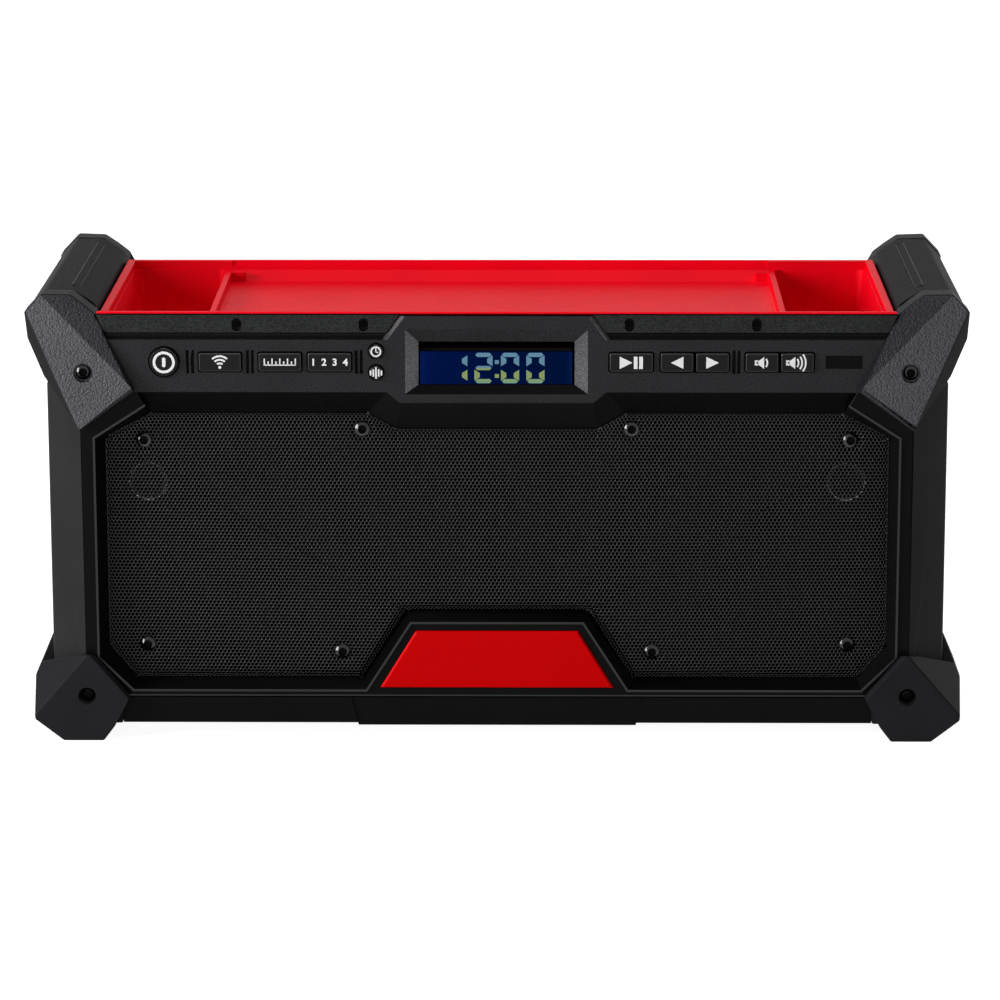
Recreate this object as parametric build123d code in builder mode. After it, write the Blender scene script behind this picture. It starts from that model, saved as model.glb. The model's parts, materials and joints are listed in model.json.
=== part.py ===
from build123d import *
import os

os.makedirs("parts", exist_ok=True)

# Jobsite radio, millimetres. +X is the radio's right as seen from the front, the front
# faces -Y, +Z is up, and the origin lies on the floor under the middle of the case.

# Overall sizes
GUARD_Y = 90.0          # front of the corner guards, half of the 180 mm depth
FACE_Y = 84.0           # control panel and rear face
JOINT_Y = 62.0          # back edge of the front bezel, front edge of the rear cover
SIDE_X = 202.5          # flat side of the case, half of its width
FRONT_X = 185.5         # where the front face turns into the swept side
NECK_X = 178.0          # half width of the case above its shoulders
BASE_Z = 6.8            # underside of the case, carried by the lower guards
SHOULDER_Z = 160.0      # shoulders under the hand gaps
WALL = 3.0
FIT = 0.3               # gap round a bezel or cover, and round the grille

# Control panel
PANEL_BOTTOM = 159.6
PANEL_TOP = 183.2
STRIP_BOTTOM = 186.2
STRIP_TOP = 194.0
KEY_Z = 173.3
KEY_HEIGHT = 9.0
KEY_TRAVEL = 1.0
KEY_PROUD = 1.5
KEY_GAP = 0.25
SKIN = 3.0              # panel thickness behind the keys
BOARD_Y = 76.6          # front of the control board
BOARD = 1.6             # thickness of a circuit board
STANDOFF = 6.0          # height of the main board's standoffs
MAIN_BOARD = (-105.0, 5.0, 90.0, 44.0)  # middle, length and width

# Rectangular keys, left and right edge, and round keys, centre and radius
KEYS = {
    "wireless": (-132.4, -112.9),
    "band": (-105.8, -86.2),
    "preset": (-84.0, -64.1),
    "play_pause": (49.8, 69.7),
    "previous": (72.4, 87.6),
    "next": (88.1, 103.3),
    "volume_down": (110.0, 125.2),
    "volume_up": (125.7, 140.9),
}
ROUND_KEYS = {
    "power": (-147.5, KEY_Z, 6.9),
    "clock": (-53.4, 178.2, 3.5),
    "equalizer": (-53.4, 168.6, 3.5),
}
KEY_SLOTS = [
    ("wireless", "wireless"),
    ("band", "band"),
    ("preset", "preset"),
    ("play_pause", "play_pause"),
    ("previous", "next"),
    ("volume_down", "volume_up"),
]
SEPARATORS = [-135.9, -109.3, -61.0, 106.4]
SEPARATOR = (3.5, 0.9, 10.6, 2.0)   # width of the slot and of its rib, height, depth
TAG = (154.0, 16.4, 6.0, 0.6)       # middle, width, height and depth of the bare tag

# Grille
GRILLE_Y = 74.0         # back of the grille pan and of the bezel's frame
SHEET = 1.0
GRILLE_TOP_Y = 75.0     # where the middle facet starts, at the grille's top edge
GRILLE_NOSE_Y = 78.8    # where the three facets meet, over the badge
GRILLE_SCREWS = [(158.0, 136.0), (60.2, 141.0), (158.0, 41.4), (69.8, 38.7)]

# Tray
LIP_Z = 195.8
RIM_Z = 193.8
SHELF_Z = 191.0
PLATFORM_Z = 185.0
POCKET_Z = 165.0
TRAY_X = 177.0
TRAY_BACK = 61.5
RIB_X = 128.0
RIB = 1.0               # half thickness of the ribs
TRAY_WALL = 2.5

# Handles
HANDLE_END = 68.0
GAP_END = 56.0          # the hand gap runs from -56 to 56
GAP_TOP = 186.0
HANDLE_TOP = 202.8
ROD_X, ROD_Z, ROD_R = 196.0, 194.0, 5.0
ROD_END = 77.0

# Speakers
WOOFER_X, WOOFER_Z, WOOFER_R = 97.0, 88.0, 40.0
TWEETER_X, TWEETER_Z, TWEETER_R = 156.4, 116.8, 10.0

# Rear
BAY_X, BAY_BOTTOM, BAY_TOP, BAY_Y = 46.0, 22.0, 150.0, 40.0
PORT_LEFT, PORT_RIGHT, PORT_BOTTOM, PORT_TOP = 109.0, 159.0, 60.0, 96.0
PORT_FLOOR = 70.0
HINGE_X, HINGE_Y, HINGE_R, PIN_R = 162.0, 82.6, 2.4, 1.0
REAR_SCREWS = [(120.0, 176.0), (120.0, 16.0)]

SIDES = {"left": -1, "right": 1}


def both_halves(half):
    """A closed outline from its right half, listed from the top down."""
    return half + [(-x, z) for x, z in reversed(half)]


def facing(y):
    """Plane that faces the front at a given y: sketch x is X and sketch y is Z."""
    return Plane.XZ.offset(-y)


def facet(a, b, c):
    """Plane through three corners of a facet."""
    a, b, c = Vector(*a), Vector(*b), Vector(*c)
    return Plane(origin=a, x_dir=b - a, z_dir=(b - a).cross(c - a))


def reflected(shape, side_x=1, side_y=1):
    """The shape carried over to another corner of the radio."""
    if side_x < 0:
        shape = shape.mirror(Plane.YZ)
    if side_y > 0:
        shape = shape.mirror(Plane.XZ)
    return shape


def save(part, name):
    """Label a sub-part and write it."""
    part.label = name
    export_step(part, f"parts/{name}.step")


# ---------------------------------------------------------------------------------------
# Outlines shared by the bezel, the case and the grille
# ---------------------------------------------------------------------------------------

CASE_PLAN = [
    (-FRONT_X, -FACE_Y),
    (FRONT_X, -FACE_Y),
    (SIDE_X, -JOINT_Y),
    (SIDE_X, JOINT_Y),
    (FRONT_X, FACE_Y),
    (-FRONT_X, FACE_Y),
    (-SIDE_X, JOINT_Y),
    (-SIDE_X, -JOINT_Y),
]


def cover_half(top):
    """Right half of the bezel's or the rear cover's outline, its lower corner cut back
    for the case's corner block."""
    return [
        (NECK_X - FIT, top),
        (NECK_X - FIT, SHOULDER_Z),
        (FRONT_X - FIT, SHOULDER_Z),
        (FRONT_X - FIT, 38.0),
        (169.0, 19.0),
        (169.0, BASE_Z),
    ]


GRILLE_HALF = [
    (44.7, 140.8),
    (57.7, 148.1),
    (155.1, 148.1),
    (175.5, 137.0),
    (175.5, 40.8),
    (163.0, 26.0),
    (60.9, 26.0),
    (40.8, 57.4),
]
BEAD_HALF = [
    (156.3, 153.1),
    (179.0, 138.5),
    (179.0, 37.8),
    (163.8, 22.8),
    (59.1, 22.8),
    (39.0, 54.3),
]
BADGE_HALF = [(36.5, 50.0), (52.6, 23.6)]

# Three facets of the folded grille: each plane's y grows towards the back
FOLD_OUT = (172.0, -GRILLE_TOP_Y - 0.5, 137.0)
FOLD_IN = (41.0, -GRILLE_NOSE_Y, 57.4)
LOW_CORNER = (163.0, -GRILLE_TOP_Y, 26.0)


def sheet_y(x, z):
    """Front surface of the grille at a point of the front view."""
    middle = -GRILLE_TOP_Y - (GRILLE_NOSE_Y - GRILLE_TOP_Y) * (148.1 - z) / (148.1 - 57.4)
    x = abs(x)
    span = [FOLD_IN[i] - FOLD_OUT[i] for i in range(3)]
    drop = [LOW_CORNER[i] - FOLD_OUT[i] for i in range(3)]
    area = span[0] * drop[2] - span[2] * drop[0]
    along = ((x - FOLD_OUT[0]) * drop[2] - (z - FOLD_OUT[2]) * drop[0]) / area
    down = (span[0] * (z - FOLD_OUT[2]) - span[2] * (x - FOLD_OUT[0])) / area
    side = FOLD_OUT[1] + along * span[1] + down * drop[1]
    return max(middle, side)


# ---------------------------------------------------------------------------------------
# Case: floor, two swept sides, shoulders, neck and the posts that carry the handles
# ---------------------------------------------------------------------------------------

POST_X, POST_FRONT, POST_TOP = 190.0, 70.0, 184.0
UPPER_SCREW = (183.4, 168.8)
LOWER_SCREW = (184.6, 20.9)
SCREW_R = 2.0
UPPER_PILOT, LOWER_PILOT = 12.0, 16.0   # depths of the guard screws' pilot holes

with BuildPart() as case:
    with BuildSketch(Plane.XY.offset(BASE_Z)):
        Polygon(*CASE_PLAN, align=None)
    extrude(amount=SHOULDER_Z - BASE_Z)
    # open front and back, closed by the bezel and the rear cover
    for y in (-FACE_Y, JOINT_Y):
        with BuildSketch(facing(y)):
            Polygon(*both_halves([(FRONT_X, SHOULDER_Z)] + cover_half(0)[3:5] + [(169.0, 0)]), align=None)
        extrude(amount=-(FACE_Y - JOINT_Y), mode=Mode.SUBTRACT)
    # inside
    with BuildSketch(Plane.XY.offset(BASE_Z + WALL)):
        Rectangle(2 * (SIDE_X - WALL), 2 * JOINT_Y)
    extrude(amount=SHOULDER_Z - BASE_Z - 2 * WALL, mode=Mode.SUBTRACT)
    # tray opening with its neck
    with BuildSketch(Plane.XY.offset(SHOULDER_Z - WALL)):
        Rectangle(2 * (NECK_X - WALL), 2 * JOINT_Y)
    extrude(amount=WALL, mode=Mode.SUBTRACT)
    with BuildSketch(Plane.XY.offset(SHOULDER_Z)):
        with Locations((NECK_X - WALL / 2, 0), (WALL / 2 - NECK_X, 0)):
            Rectangle(WALL, 2 * JOINT_Y)
    extrude(amount=RIM_Z - 2 - SHOULDER_Z)
    # posts between the neck and the guards
    with BuildSketch(Plane.XY.offset(SHOULDER_Z)):
        with GridLocations(NECK_X + POST_X, POST_FRONT + GAP_END, 2, 2):
            Rectangle(POST_X - NECK_X, POST_FRONT - GAP_END)
    extrude(amount=POST_TOP - SHOULDER_Z)
    # pilot holes of the guard screws
    for (x, z), y, depth in ((UPPER_SCREW, POST_FRONT, UPPER_PILOT), (LOWER_SCREW, FACE_Y, LOWER_PILOT)):
        for side_y in (-1, 1):
            with BuildSketch(facing(side_y * y)):
                with Locations((x, z), (-x, z)):
                    Circle(SCREW_R)
            extrude(amount=side_y * depth, mode=Mode.SUBTRACT)
    # standoffs of the main board
    with BuildSketch(Plane.XY.offset(BASE_Z + WALL)):
        with Locations(MAIN_BOARD[:2]):
            with GridLocations(MAIN_BOARD[2] - 14, MAIN_BOARD[3] - 10, 2, 2):
                Circle(STANDOFF / 2)
    extrude(amount=STANDOFF)
save(case.part, "case_shell")

# ---------------------------------------------------------------------------------------
# Front bezel: panel with key holes, display window, funnel round the grille, badge seat
# ---------------------------------------------------------------------------------------

GROOVE_Y = FACE_Y - 2       # groove between the panel and the trim strips
STEP_Y = FACE_Y - 4         # seat of the trim strips, and the tray's front
GROOVE_TOP = STRIP_BOTTOM - 0.2
BEZEL_TOP = 188.3
FACE_HALF = [(42.5, STRIP_TOP), (50.6, PANEL_TOP), (NECK_X - FIT, PANEL_TOP)] + cover_half(0)[1:]
GROOVE_HALF = [(42.5, STRIP_TOP), (48.5, GROOVE_TOP), (NECK_X - FIT, GROOVE_TOP)] + cover_half(0)[1:]
WINDOW = (81.2, 29.1, 173.3)        # width, height and middle of the window's mouth
WINDOW_SIGHT = (68.8, 19.0, 172.0)  # the same of its inner edge
WINDOW_Y = 80.0
LENS = (73.4, 22.4, 172.0)
COLLAR = (90.0, 29.6, 173.0)
CHAMBER_BOTTOM, CHAMBER_TOP = 163.4, 184.0
BROW_HALF = [(43.0, 154.8), (48.7, PANEL_BOTTOM), (160.0, PANEL_BOTTOM), (146.0, 135.0)]
LOWER_BAND_Z = 19.0
CHIN_HALF = [(66.0, LOWER_BAND_Z), (62.6, 5.5)]
STEP = 0.8                  # height of the bead, depth of the lower band and of the chin
BADGE_SEAT = 1.5


def boxed(plane, frame):
    """Sketch of a window: width, height and the height of its middle."""
    with BuildSketch(plane) as sketch:
        with Locations((0, frame[2])):
            Rectangle(frame[0], frame[1])
    return sketch.sketch


with BuildPart() as bezel:
    with BuildSketch(facing(-STEP_Y)):
        Polygon(*both_halves(cover_half(BEZEL_TOP)), align=None)
    extrude(amount=-(STEP_Y - JOINT_Y))
    with BuildSketch(facing(-GROOVE_Y)):
        Polygon(*both_halves(GROOVE_HALF), align=None)
    extrude(amount=-(GROOVE_Y - STEP_Y))
    with BuildSketch(facing(-FACE_Y)):
        Polygon(*both_halves(FACE_HALF), align=None)
    extrude(amount=-(FACE_Y - GROOVE_Y))
    # slanted sides of the display's housing, where it stands proud of the trim strips
    flanks = bezel.edges().group_by(Axis.Y)[0].filter_by_position(Axis.Z, PANEL_TOP + 1, STRIP_TOP - 1)
    chamfer(flanks, 1.6)
    # chin under the badge, a step lower than the rest
    with BuildSketch(facing(-FACE_Y)):
        Polygon(*both_halves(CHIN_HALF), align=None)
    extrude(amount=-(FACE_Y - JOINT_Y))
    # open back
    with BuildSketch(facing(-GRILLE_Y)):
        Polygon(*both_halves(cover_half(BEZEL_TOP)), align=None)
        offset(amount=-WALL, kind=Kind.INTERSECTION, mode=Mode.REPLACE)
    extrude(amount=-(GRILLE_Y - JOINT_Y), mode=Mode.SUBTRACT)
    # chamber of the keys, on both sides of the display's collar
    with BuildSketch(facing(SKIN - FACE_Y)):
        with Locations((0, (CHAMBER_BOTTOM + CHAMBER_TOP) / 2)):
            Rectangle(2 * (NECK_X - FIT - WALL), CHAMBER_TOP - CHAMBER_BOTTOM)
        with Locations((0, COLLAR[2])):
            Rectangle(COLLAR[0], COLLAR[1], mode=Mode.SUBTRACT)
    extrude(amount=-(FACE_Y - SKIN - GRILLE_Y), mode=Mode.SUBTRACT)
    with BuildSketch(facing(-BOARD_Y)):
        with Locations((0, (CHAMBER_BOTTOM + CHAMBER_TOP) / 2)):
            Rectangle(COLLAR[0], CHAMBER_TOP - CHAMBER_BOTTOM)
    extrude(amount=-(BOARD_Y - GRILLE_Y), mode=Mode.SUBTRACT)
    # funnel from the bead in to the grille
    with BuildSketch(facing(-FACE_Y)):
        Polygon(*both_halves(GRILLE_HALF[:2] + BEAD_HALF), align=None)
    with BuildSketch(facing(-GRILLE_Y)):
        Polygon(*both_halves(GRILLE_HALF), align=None)
    loft(ruled=True, mode=Mode.SUBTRACT)
    # bevel from the panel's lower edge in to the grille
    with BuildSketch(facing(-FACE_Y)):
        Polygon(*both_halves(BROW_HALF), align=None)
    with BuildSketch(facing(-GRILLE_Y)):
        Polygon(*both_halves(GRILLE_HALF[:3] + [(147.6, 135.0)]), align=None)
    loft(ruled=True, mode=Mode.SUBTRACT)
    # bead that borders the grille opening
    with BuildSketch(facing(-FACE_Y)):
        Polygon(*both_halves(BEAD_HALF), align=None)
        offset(amount=1.0, kind=Kind.INTERSECTION, mode=Mode.REPLACE)
        Polygon(*both_halves(BEAD_HALF), align=None, mode=Mode.SUBTRACT)
        with Locations((0, BEAD_HALF[0][1])):
            Rectangle(2 * BEAD_HALF[0][0], 8, align=(Align.CENTER, Align.MIN), mode=Mode.SUBTRACT)
    extrude(amount=STEP)
    # display window
    loft([boxed(facing(-FACE_Y), WINDOW), boxed(facing(-WINDOW_Y), WINDOW_SIGHT)],
         ruled=True, mode=Mode.SUBTRACT)
    with BuildSketch(facing(-WINDOW_Y)):
        with Locations((0, LENS[2])):
            Rectangle(LENS[0], LENS[1])
    extrude(amount=-(WINDOW_Y - GRILLE_Y), mode=Mode.SUBTRACT)
    # key holes
    with BuildSketch(facing(-FACE_Y)):
        for first, last in KEY_SLOTS:
            left, right = KEYS[first][0], KEYS[last][1]
            with Locations(((left + right) / 2, KEY_Z)):
                RectangleRounded(right - left + 2 * KEY_GAP, KEY_HEIGHT + 2 * KEY_GAP, 1.2)
        for x, z, radius in ROUND_KEYS.values():
            with Locations((x, z)):
                Circle(radius + KEY_GAP)
    extrude(amount=-SKIN, mode=Mode.SUBTRACT)
    # separators, each a recess with a rib left standing in it, and the blank tag
    with BuildSketch(facing(-FACE_Y)):
        for x in SEPARATORS:
            with Locations((x, KEY_Z)):
                Rectangle(SEPARATOR[0], SEPARATOR[2])
                Rectangle(SEPARATOR[1], SEPARATOR[2], mode=Mode.SUBTRACT)
    extrude(amount=-SEPARATOR[3], mode=Mode.SUBTRACT)
    with BuildSketch(facing(-FACE_Y)):
        with Locations((TAG[0], KEY_Z)):
            Rectangle(TAG[1], TAG[2])
    extrude(amount=-TAG[3], mode=Mode.SUBTRACT)
    # badge seat
    with BuildSketch(facing(-FACE_Y)):
        Polygon(*both_halves(BADGE_HALF), align=None)
        offset(amount=0.2, kind=Kind.INTERSECTION, mode=Mode.REPLACE)
    extrude(amount=-BADGE_SEAT, mode=Mode.SUBTRACT)
    # lower band and chin set back from the face
    with BuildSketch(facing(-FACE_Y)):
        with Locations((0, LOWER_BAND_Z)):
            Rectangle(2 * FRONT_X, 16, align=(Align.CENTER, Align.MAX))
    extrude(amount=-STEP, mode=Mode.SUBTRACT)
    with BuildSketch(facing(STEP - FACE_Y)):
        Polygon(*both_halves(CHIN_HALF), align=None)
    extrude(amount=-STEP, mode=Mode.SUBTRACT)
save(bezel.part, "front_bezel")

# ---------------------------------------------------------------------------------------
# Grille: one pressed pan with three facets and a rim turned back
# ---------------------------------------------------------------------------------------


def folded(outline_inset, back):
    """Prism of the grille's outline, cut by its three facets, moved back by some depth."""
    with BuildPart() as body:
        with BuildSketch(facing(-GRILLE_Y)):
            Polygon(*both_halves(GRILLE_HALF), align=None)
            offset(amount=-outline_inset, kind=Kind.INTERSECTION, mode=Mode.REPLACE)
        extrude(amount=10)
        shift = Vector(0, back, 0)
        top_edge = [(100.0, -GRILLE_TOP_Y, 148.1), (-100.0, -GRILLE_TOP_Y, 148.1), FOLD_IN]
        corners = [FOLD_OUT, LOW_CORNER, FOLD_IN]
        for points in (top_edge, corners, [(-x, y, z) for x, y, z in corners]):
            plane = facet(*[Vector(*point) + shift for point in points])
            if plane.z_dir.Y > 0:
                plane = -plane
            split(bisect_by=plane, keep=Keep.BOTTOM)
    return body.part


with BuildPart() as grille:
    add(folded(FIT, 0))
    add(folded(FIT + SHEET, SHEET), mode=Mode.SUBTRACT)
    with BuildSketch(facing(-FACE_Y)):
        for side in (-1, 1):
            with Locations(*[(side * x, z) for x, z in GRILLE_SCREWS]):
                Circle(1.7)
    extrude(amount=-(FACE_Y - GRILLE_Y), mode=Mode.SUBTRACT)
save(grille.part, "grille")

GRILLE_HEAD = (3.5, 1.6, 25.0)  # radius, height and taper of a head
SEAT_GAP = 0.6                  # from the sloping sheet to the flat underside of a head

with BuildPart() as grille_screws:
    for side in (-1, 1):
        for x, z in GRILLE_SCREWS:
            under_head = sheet_y(x, z) - SEAT_GAP
            with BuildSketch(facing(under_head)):
                with Locations((side * x, z)):
                    Circle(GRILLE_HEAD[0])
            extrude(amount=GRILLE_HEAD[1], taper=GRILLE_HEAD[2])
            with BuildSketch(facing(under_head)):
                with Locations((side * x, z)):
                    Circle(1.5)
            extrude(amount=-(GRILLE_Y + 4 + under_head))
save(grille_screws.part, "grille_screws")

# ---------------------------------------------------------------------------------------
# Badge, trim strips and their screws
# ---------------------------------------------------------------------------------------

with BuildPart() as badge:
    with BuildSketch(facing(BADGE_SEAT - FACE_Y)):
        Polygon(*both_halves(BADGE_HALF), align=None)
    extrude(amount=BADGE_SEAT + STEP)
    chamfer(badge.faces().sort_by(Axis.Y)[0].edges(), 0.8)
save(badge.part, "badge_plate")

STRIP_FRONT = FACE_Y - 1
TRIM_SCREWS = [(58.9, 189.9), (115.2, 189.9)]
TRIM_RECESS = (6.0, 4.3, 1.8)   # height, width and depth
TRIM_HEAD = (1.9, 1.0)          # radius and height
TRIM_SHANK = (1.2, 6.6)         # radius and length
TRIM_PILOT = 5.6
STRIP_RIGHT = [(43.0, STRIP_TOP), (49.0, STRIP_BOTTOM), (173.0, STRIP_BOTTOM), (176.9, STRIP_TOP)]

for name, side in SIDES.items():
    with BuildPart() as strip:
        with BuildSketch(facing(-STEP_Y)):
            Polygon(*[(side * x, z) for x, z in STRIP_RIGHT], align=None)
        extrude(amount=STRIP_FRONT - STEP_Y)
        chamfer(strip.faces().sort_by(Axis.Y)[0].edges().sort_by(Axis.Z)[-1], 0.6)
        with BuildSketch(facing(-STRIP_FRONT)):
            for x, z in TRIM_SCREWS:
                with Locations((side * x, z)):
                    SlotOverall(TRIM_RECESS[0], TRIM_RECESS[1], rotation=90)
        extrude(amount=-TRIM_RECESS[2], mode=Mode.SUBTRACT)
        with BuildSketch(facing(-STRIP_FRONT)):
            with Locations(*[(side * x, z) for x, z in TRIM_SCREWS]):
                Circle(TRIM_SHANK[0] + 0.1)
        extrude(amount=-(STRIP_FRONT - STEP_Y), mode=Mode.SUBTRACT)
    save(strip.part, f"trim_strip_{name}")

with BuildPart() as trim_screws:
    for side in (-1, 1):
        for x, z in TRIM_SCREWS:
            with BuildSketch(facing(TRIM_RECESS[2] - STRIP_FRONT)):
                with Locations((side * x, z)):
                    Circle(TRIM_HEAD[0])
            extrude(amount=TRIM_HEAD[1])
            with BuildSketch(facing(TRIM_RECESS[2] - STRIP_FRONT)):
                with Locations((side * x, z)):
                    Circle(TRIM_SHANK[0])
            extrude(amount=-TRIM_SHANK[1])
save(trim_screws.part, "trim_screws")

# ---------------------------------------------------------------------------------------
# Storage tray: front lip, shelf over the controls, platform, ribs and two end pockets
# ---------------------------------------------------------------------------------------

WELL_FRONT = 61.5
PLATFORM_BACK = 50.0
POCKET_IN = RIB_X + RIB
POCKET_OUT = 173.2
LIP_BACK = FACE_Y - 2.2     # where the lip's flat top ends and slopes down to the shelf
RIM = 2.0                   # thickness of the rim's flange
RIB_DROP = 4.0              # ribs stand lower than the rim by this much
BOSS = 7.0                  # width and depth of a trim screw's boss

with BuildPart() as tray:
    # well between the necks, shelf and rim flange
    with BuildSketch(Plane.XY.offset(POCKET_Z - TRAY_WALL)):
        Rectangle(2 * (NECK_X - WALL - FIT), 2 * (WELL_FRONT - FIT))
    extrude(amount=RIM_Z - POCKET_Z + TRAY_WALL)
    with BuildSketch(Plane.XY.offset(SHELF_Z - TRAY_WALL)):
        with Locations((0, -STEP_Y)):
            Rectangle(2 * (NECK_X - WALL - FIT), STEP_Y - WELL_FRONT + 2, align=(Align.CENTER, Align.MIN))
    extrude(amount=RIM_Z - SHELF_Z + TRAY_WALL)
    with BuildSketch(Plane.XY.offset(RIM_Z - RIM)):
        with Locations((0, (TRAY_BACK - STEP_Y) / 2)):
            Rectangle(2 * TRAY_X, TRAY_BACK + STEP_Y)
    extrude(amount=RIM)
    # lip along the front, over the trim strips
    with BuildSketch(Plane.YZ.offset(-TRAY_X)):
        Polygon(
            (RIM - STEP_Y, SHELF_Z),
            (-STEP_Y, SHELF_Z),
            (-STEP_Y, STRIP_TOP),
            (-FACE_Y, STRIP_TOP),
            (-FACE_Y, LIP_Z - 0.6),
            (0.6 - FACE_Y, LIP_Z),
            (-LIP_BACK, LIP_Z),
            (RIM - STEP_Y, RIM_Z),
            align=None,
        )
    extrude(amount=2 * TRAY_X)
    # shelf
    with BuildSketch(Plane.XY.offset(SHELF_Z)):
        with Locations((0, RIM - STEP_Y)):
            Rectangle(2 * POCKET_OUT, STEP_Y - RIM - WELL_FRONT + TRAY_WALL, align=(Align.CENTER, Align.MIN))
    extrude(amount=LIP_Z, mode=Mode.SUBTRACT)
    # platform, its back wall leaning outwards
    with BuildSketch(Plane.YZ.offset(RIB - RIB_X)):
        Polygon(
            (-WELL_FRONT + TRAY_WALL, PLATFORM_Z),
            (-WELL_FRONT + TRAY_WALL, LIP_Z),
            (TRAY_BACK - 2.5, LIP_Z),
            (TRAY_BACK - 4.0, RIM_Z - 2.4),
            (PLATFORM_BACK, PLATFORM_Z),
            align=None,
        )
    extrude(amount=2 * (RIB_X - RIB), mode=Mode.SUBTRACT)
    # ribs stand lower than the rim
    with BuildSketch(Plane.XY.offset(RIM_Z - RIB_DROP)):
        with Locations((0, TRAY_WALL - WELL_FRONT)):
            Rectangle(2 * POCKET_OUT, TRAY_BACK + WELL_FRONT - 7.0, align=(Align.CENTER, Align.MIN))
    extrude(amount=RIB_DROP, mode=Mode.SUBTRACT)
    # end pockets, walls leaning outwards
    with BuildSketch(Plane.XY.offset(RIM_Z)):
        for side in (-1, 1):
            with Locations((side * (POCKET_IN + POCKET_OUT) / 2, -1.0)):
                RectangleRounded(POCKET_OUT - POCKET_IN, 2 * (WELL_FRONT - TRAY_WALL) - 2, 5)
    extrude(amount=POCKET_Z - RIM_Z, taper=8, mode=Mode.SUBTRACT)
    # hollow under the platform
    with BuildSketch(Plane.XY.offset(POCKET_Z - TRAY_WALL)):
        with Locations((0, -4)):
            Rectangle(2 * (RIB_X - 5), 2 * PLATFORM_BACK)
    extrude(amount=PLATFORM_Z - POCKET_Z, mode=Mode.SUBTRACT)
    # returns of the ribs along the back wall
    with BuildSketch(Plane.XY.offset(PLATFORM_Z)):
        for side in (-1, 1):
            with Locations((side * (RIB_X - 4.0), PLATFORM_BACK)):
                Rectangle(7, 4)
    extrude(amount=RIM_Z - RIB_DROP - PLATFORM_Z)
    # bosses that take the trim screws
    with BuildSketch(Plane.XY.offset(SHELF_Z - TRAY_WALL)):
        for side in (-1, 1):
            for x, z in TRIM_SCREWS:
                with Locations((side * x, -STEP_Y)):
                    Rectangle(BOSS, BOSS, align=(Align.CENTER, Align.MIN))
    extrude(amount=4)
    with BuildSketch(facing(-STEP_Y)):
        for side in (-1, 1):
            with Locations(*[(side * x, z) for x, z in TRIM_SCREWS]):
                Circle(TRIM_SHANK[0] + 0.05)
    extrude(amount=-TRIM_PILOT, mode=Mode.SUBTRACT)
save(tray.part, "storage_tray")

# ---------------------------------------------------------------------------------------
# Corner guards: one upper and one lower form, carried to the four corners
# ---------------------------------------------------------------------------------------

UPPER_OUTLINE = [
    (-189.1, 202.9),
    (-201.9, 203.2),
    (-209.7, 194.9),
    (-209.7, 181.4),
    (-202.6, 164.5),
    (-184.6, 143.1),
    (-160.9, 160.4),
    (-177.6, 194.2),
    (-183.4, 198.9),
]
RIDGE_TOP = (-201.9, -81.0, 203.2)
NECK_TOP = 203.0
THROUGH = 60.0              # longer than a guard is wide or deep
UPPER_RECESS, UPPER_HEAD, UPPER_LENGTH = (4.25, 5.0), (3.7, 2.2), 26.0
LOWER_RECESS, LOWER_HEAD, LOWER_LENGTH = (4.0, 3.6), (3.5, 2.0), 16.0

with BuildPart() as envelope:
    with BuildSketch():
        Polygon(*CASE_PLAN, align=None)
    extrude(amount=SHOULDER_Z)
    with BuildSketch(Plane.XY.offset(SHOULDER_Z)):
        Rectangle(2 * NECK_X, 2 * FACE_Y)
        with GridLocations(NECK_X + POST_X, POST_FRONT + GAP_END, 2, 2):
            Rectangle(POST_X - NECK_X, POST_FRONT - GAP_END)
    extrude(amount=POST_TOP - SHOULDER_Z)
    with BuildSketch(Plane.XY.offset(POST_TOP)):
        Rectangle(2 * NECK_X, 2 * FACE_Y)
    extrude(amount=NECK_TOP - POST_TOP)

with BuildPart() as upper_guard:
    with BuildSketch(facing(-GUARD_Y)):
        Polygon(*UPPER_OUTLINE, align=None)
    extrude(amount=-(GUARD_Y - GAP_END))
    main = [(-184.6, -GUARD_Y, 143.1), (-160.9, -GUARD_Y, 160.4), RIDGE_TOP]
    inner = [RIDGE_TOP, (-168.3, -88.2, 169.4), (-177.6, -81.8, 194.4)]
    outer = [(-209.4, -80.2, 194.5), (-186.5, -89.6, 145.5), (-202.6, -72.0, 164.5)]
    for corners in (main, inner, outer):
        plane = facet(*corners)
        if plane.z_dir.Y > 0:
            plane = -plane
        split(bisect_by=plane, keep=Keep.BOTTOM)
    # room for the handle
    with BuildSketch(facing(-HANDLE_END)):
        with Locations((-SIDE_X, GAP_TOP)):
            Rectangle(THROUGH, THROUGH, align=(Align.CENTER, Align.MIN))
    extrude(amount=-(HANDLE_END - GAP_END), mode=Mode.SUBTRACT)
    add(envelope.part, mode=Mode.SUBTRACT)
    # socket of the handle's rod, and the screw's recess
    with BuildSketch(facing(-HANDLE_END)):
        with Locations((-ROD_X, ROD_Z)):
            Circle(ROD_R)
    extrude(amount=ROD_END - HANDLE_END + 0.5, mode=Mode.SUBTRACT)
    with BuildSketch(facing(-GUARD_Y)):
        with Locations((-UPPER_SCREW[0], UPPER_SCREW[1])):
            Circle(UPPER_RECESS[0])
    extrude(amount=-UPPER_RECESS[1], mode=Mode.SUBTRACT)
    with BuildSketch(facing(-GUARD_Y)):
        with Locations((-UPPER_SCREW[0], UPPER_SCREW[1])):
            Circle(SCREW_R + 0.1)
    extrude(amount=-(GUARD_Y - POST_FRONT), mode=Mode.SUBTRACT)

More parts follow.
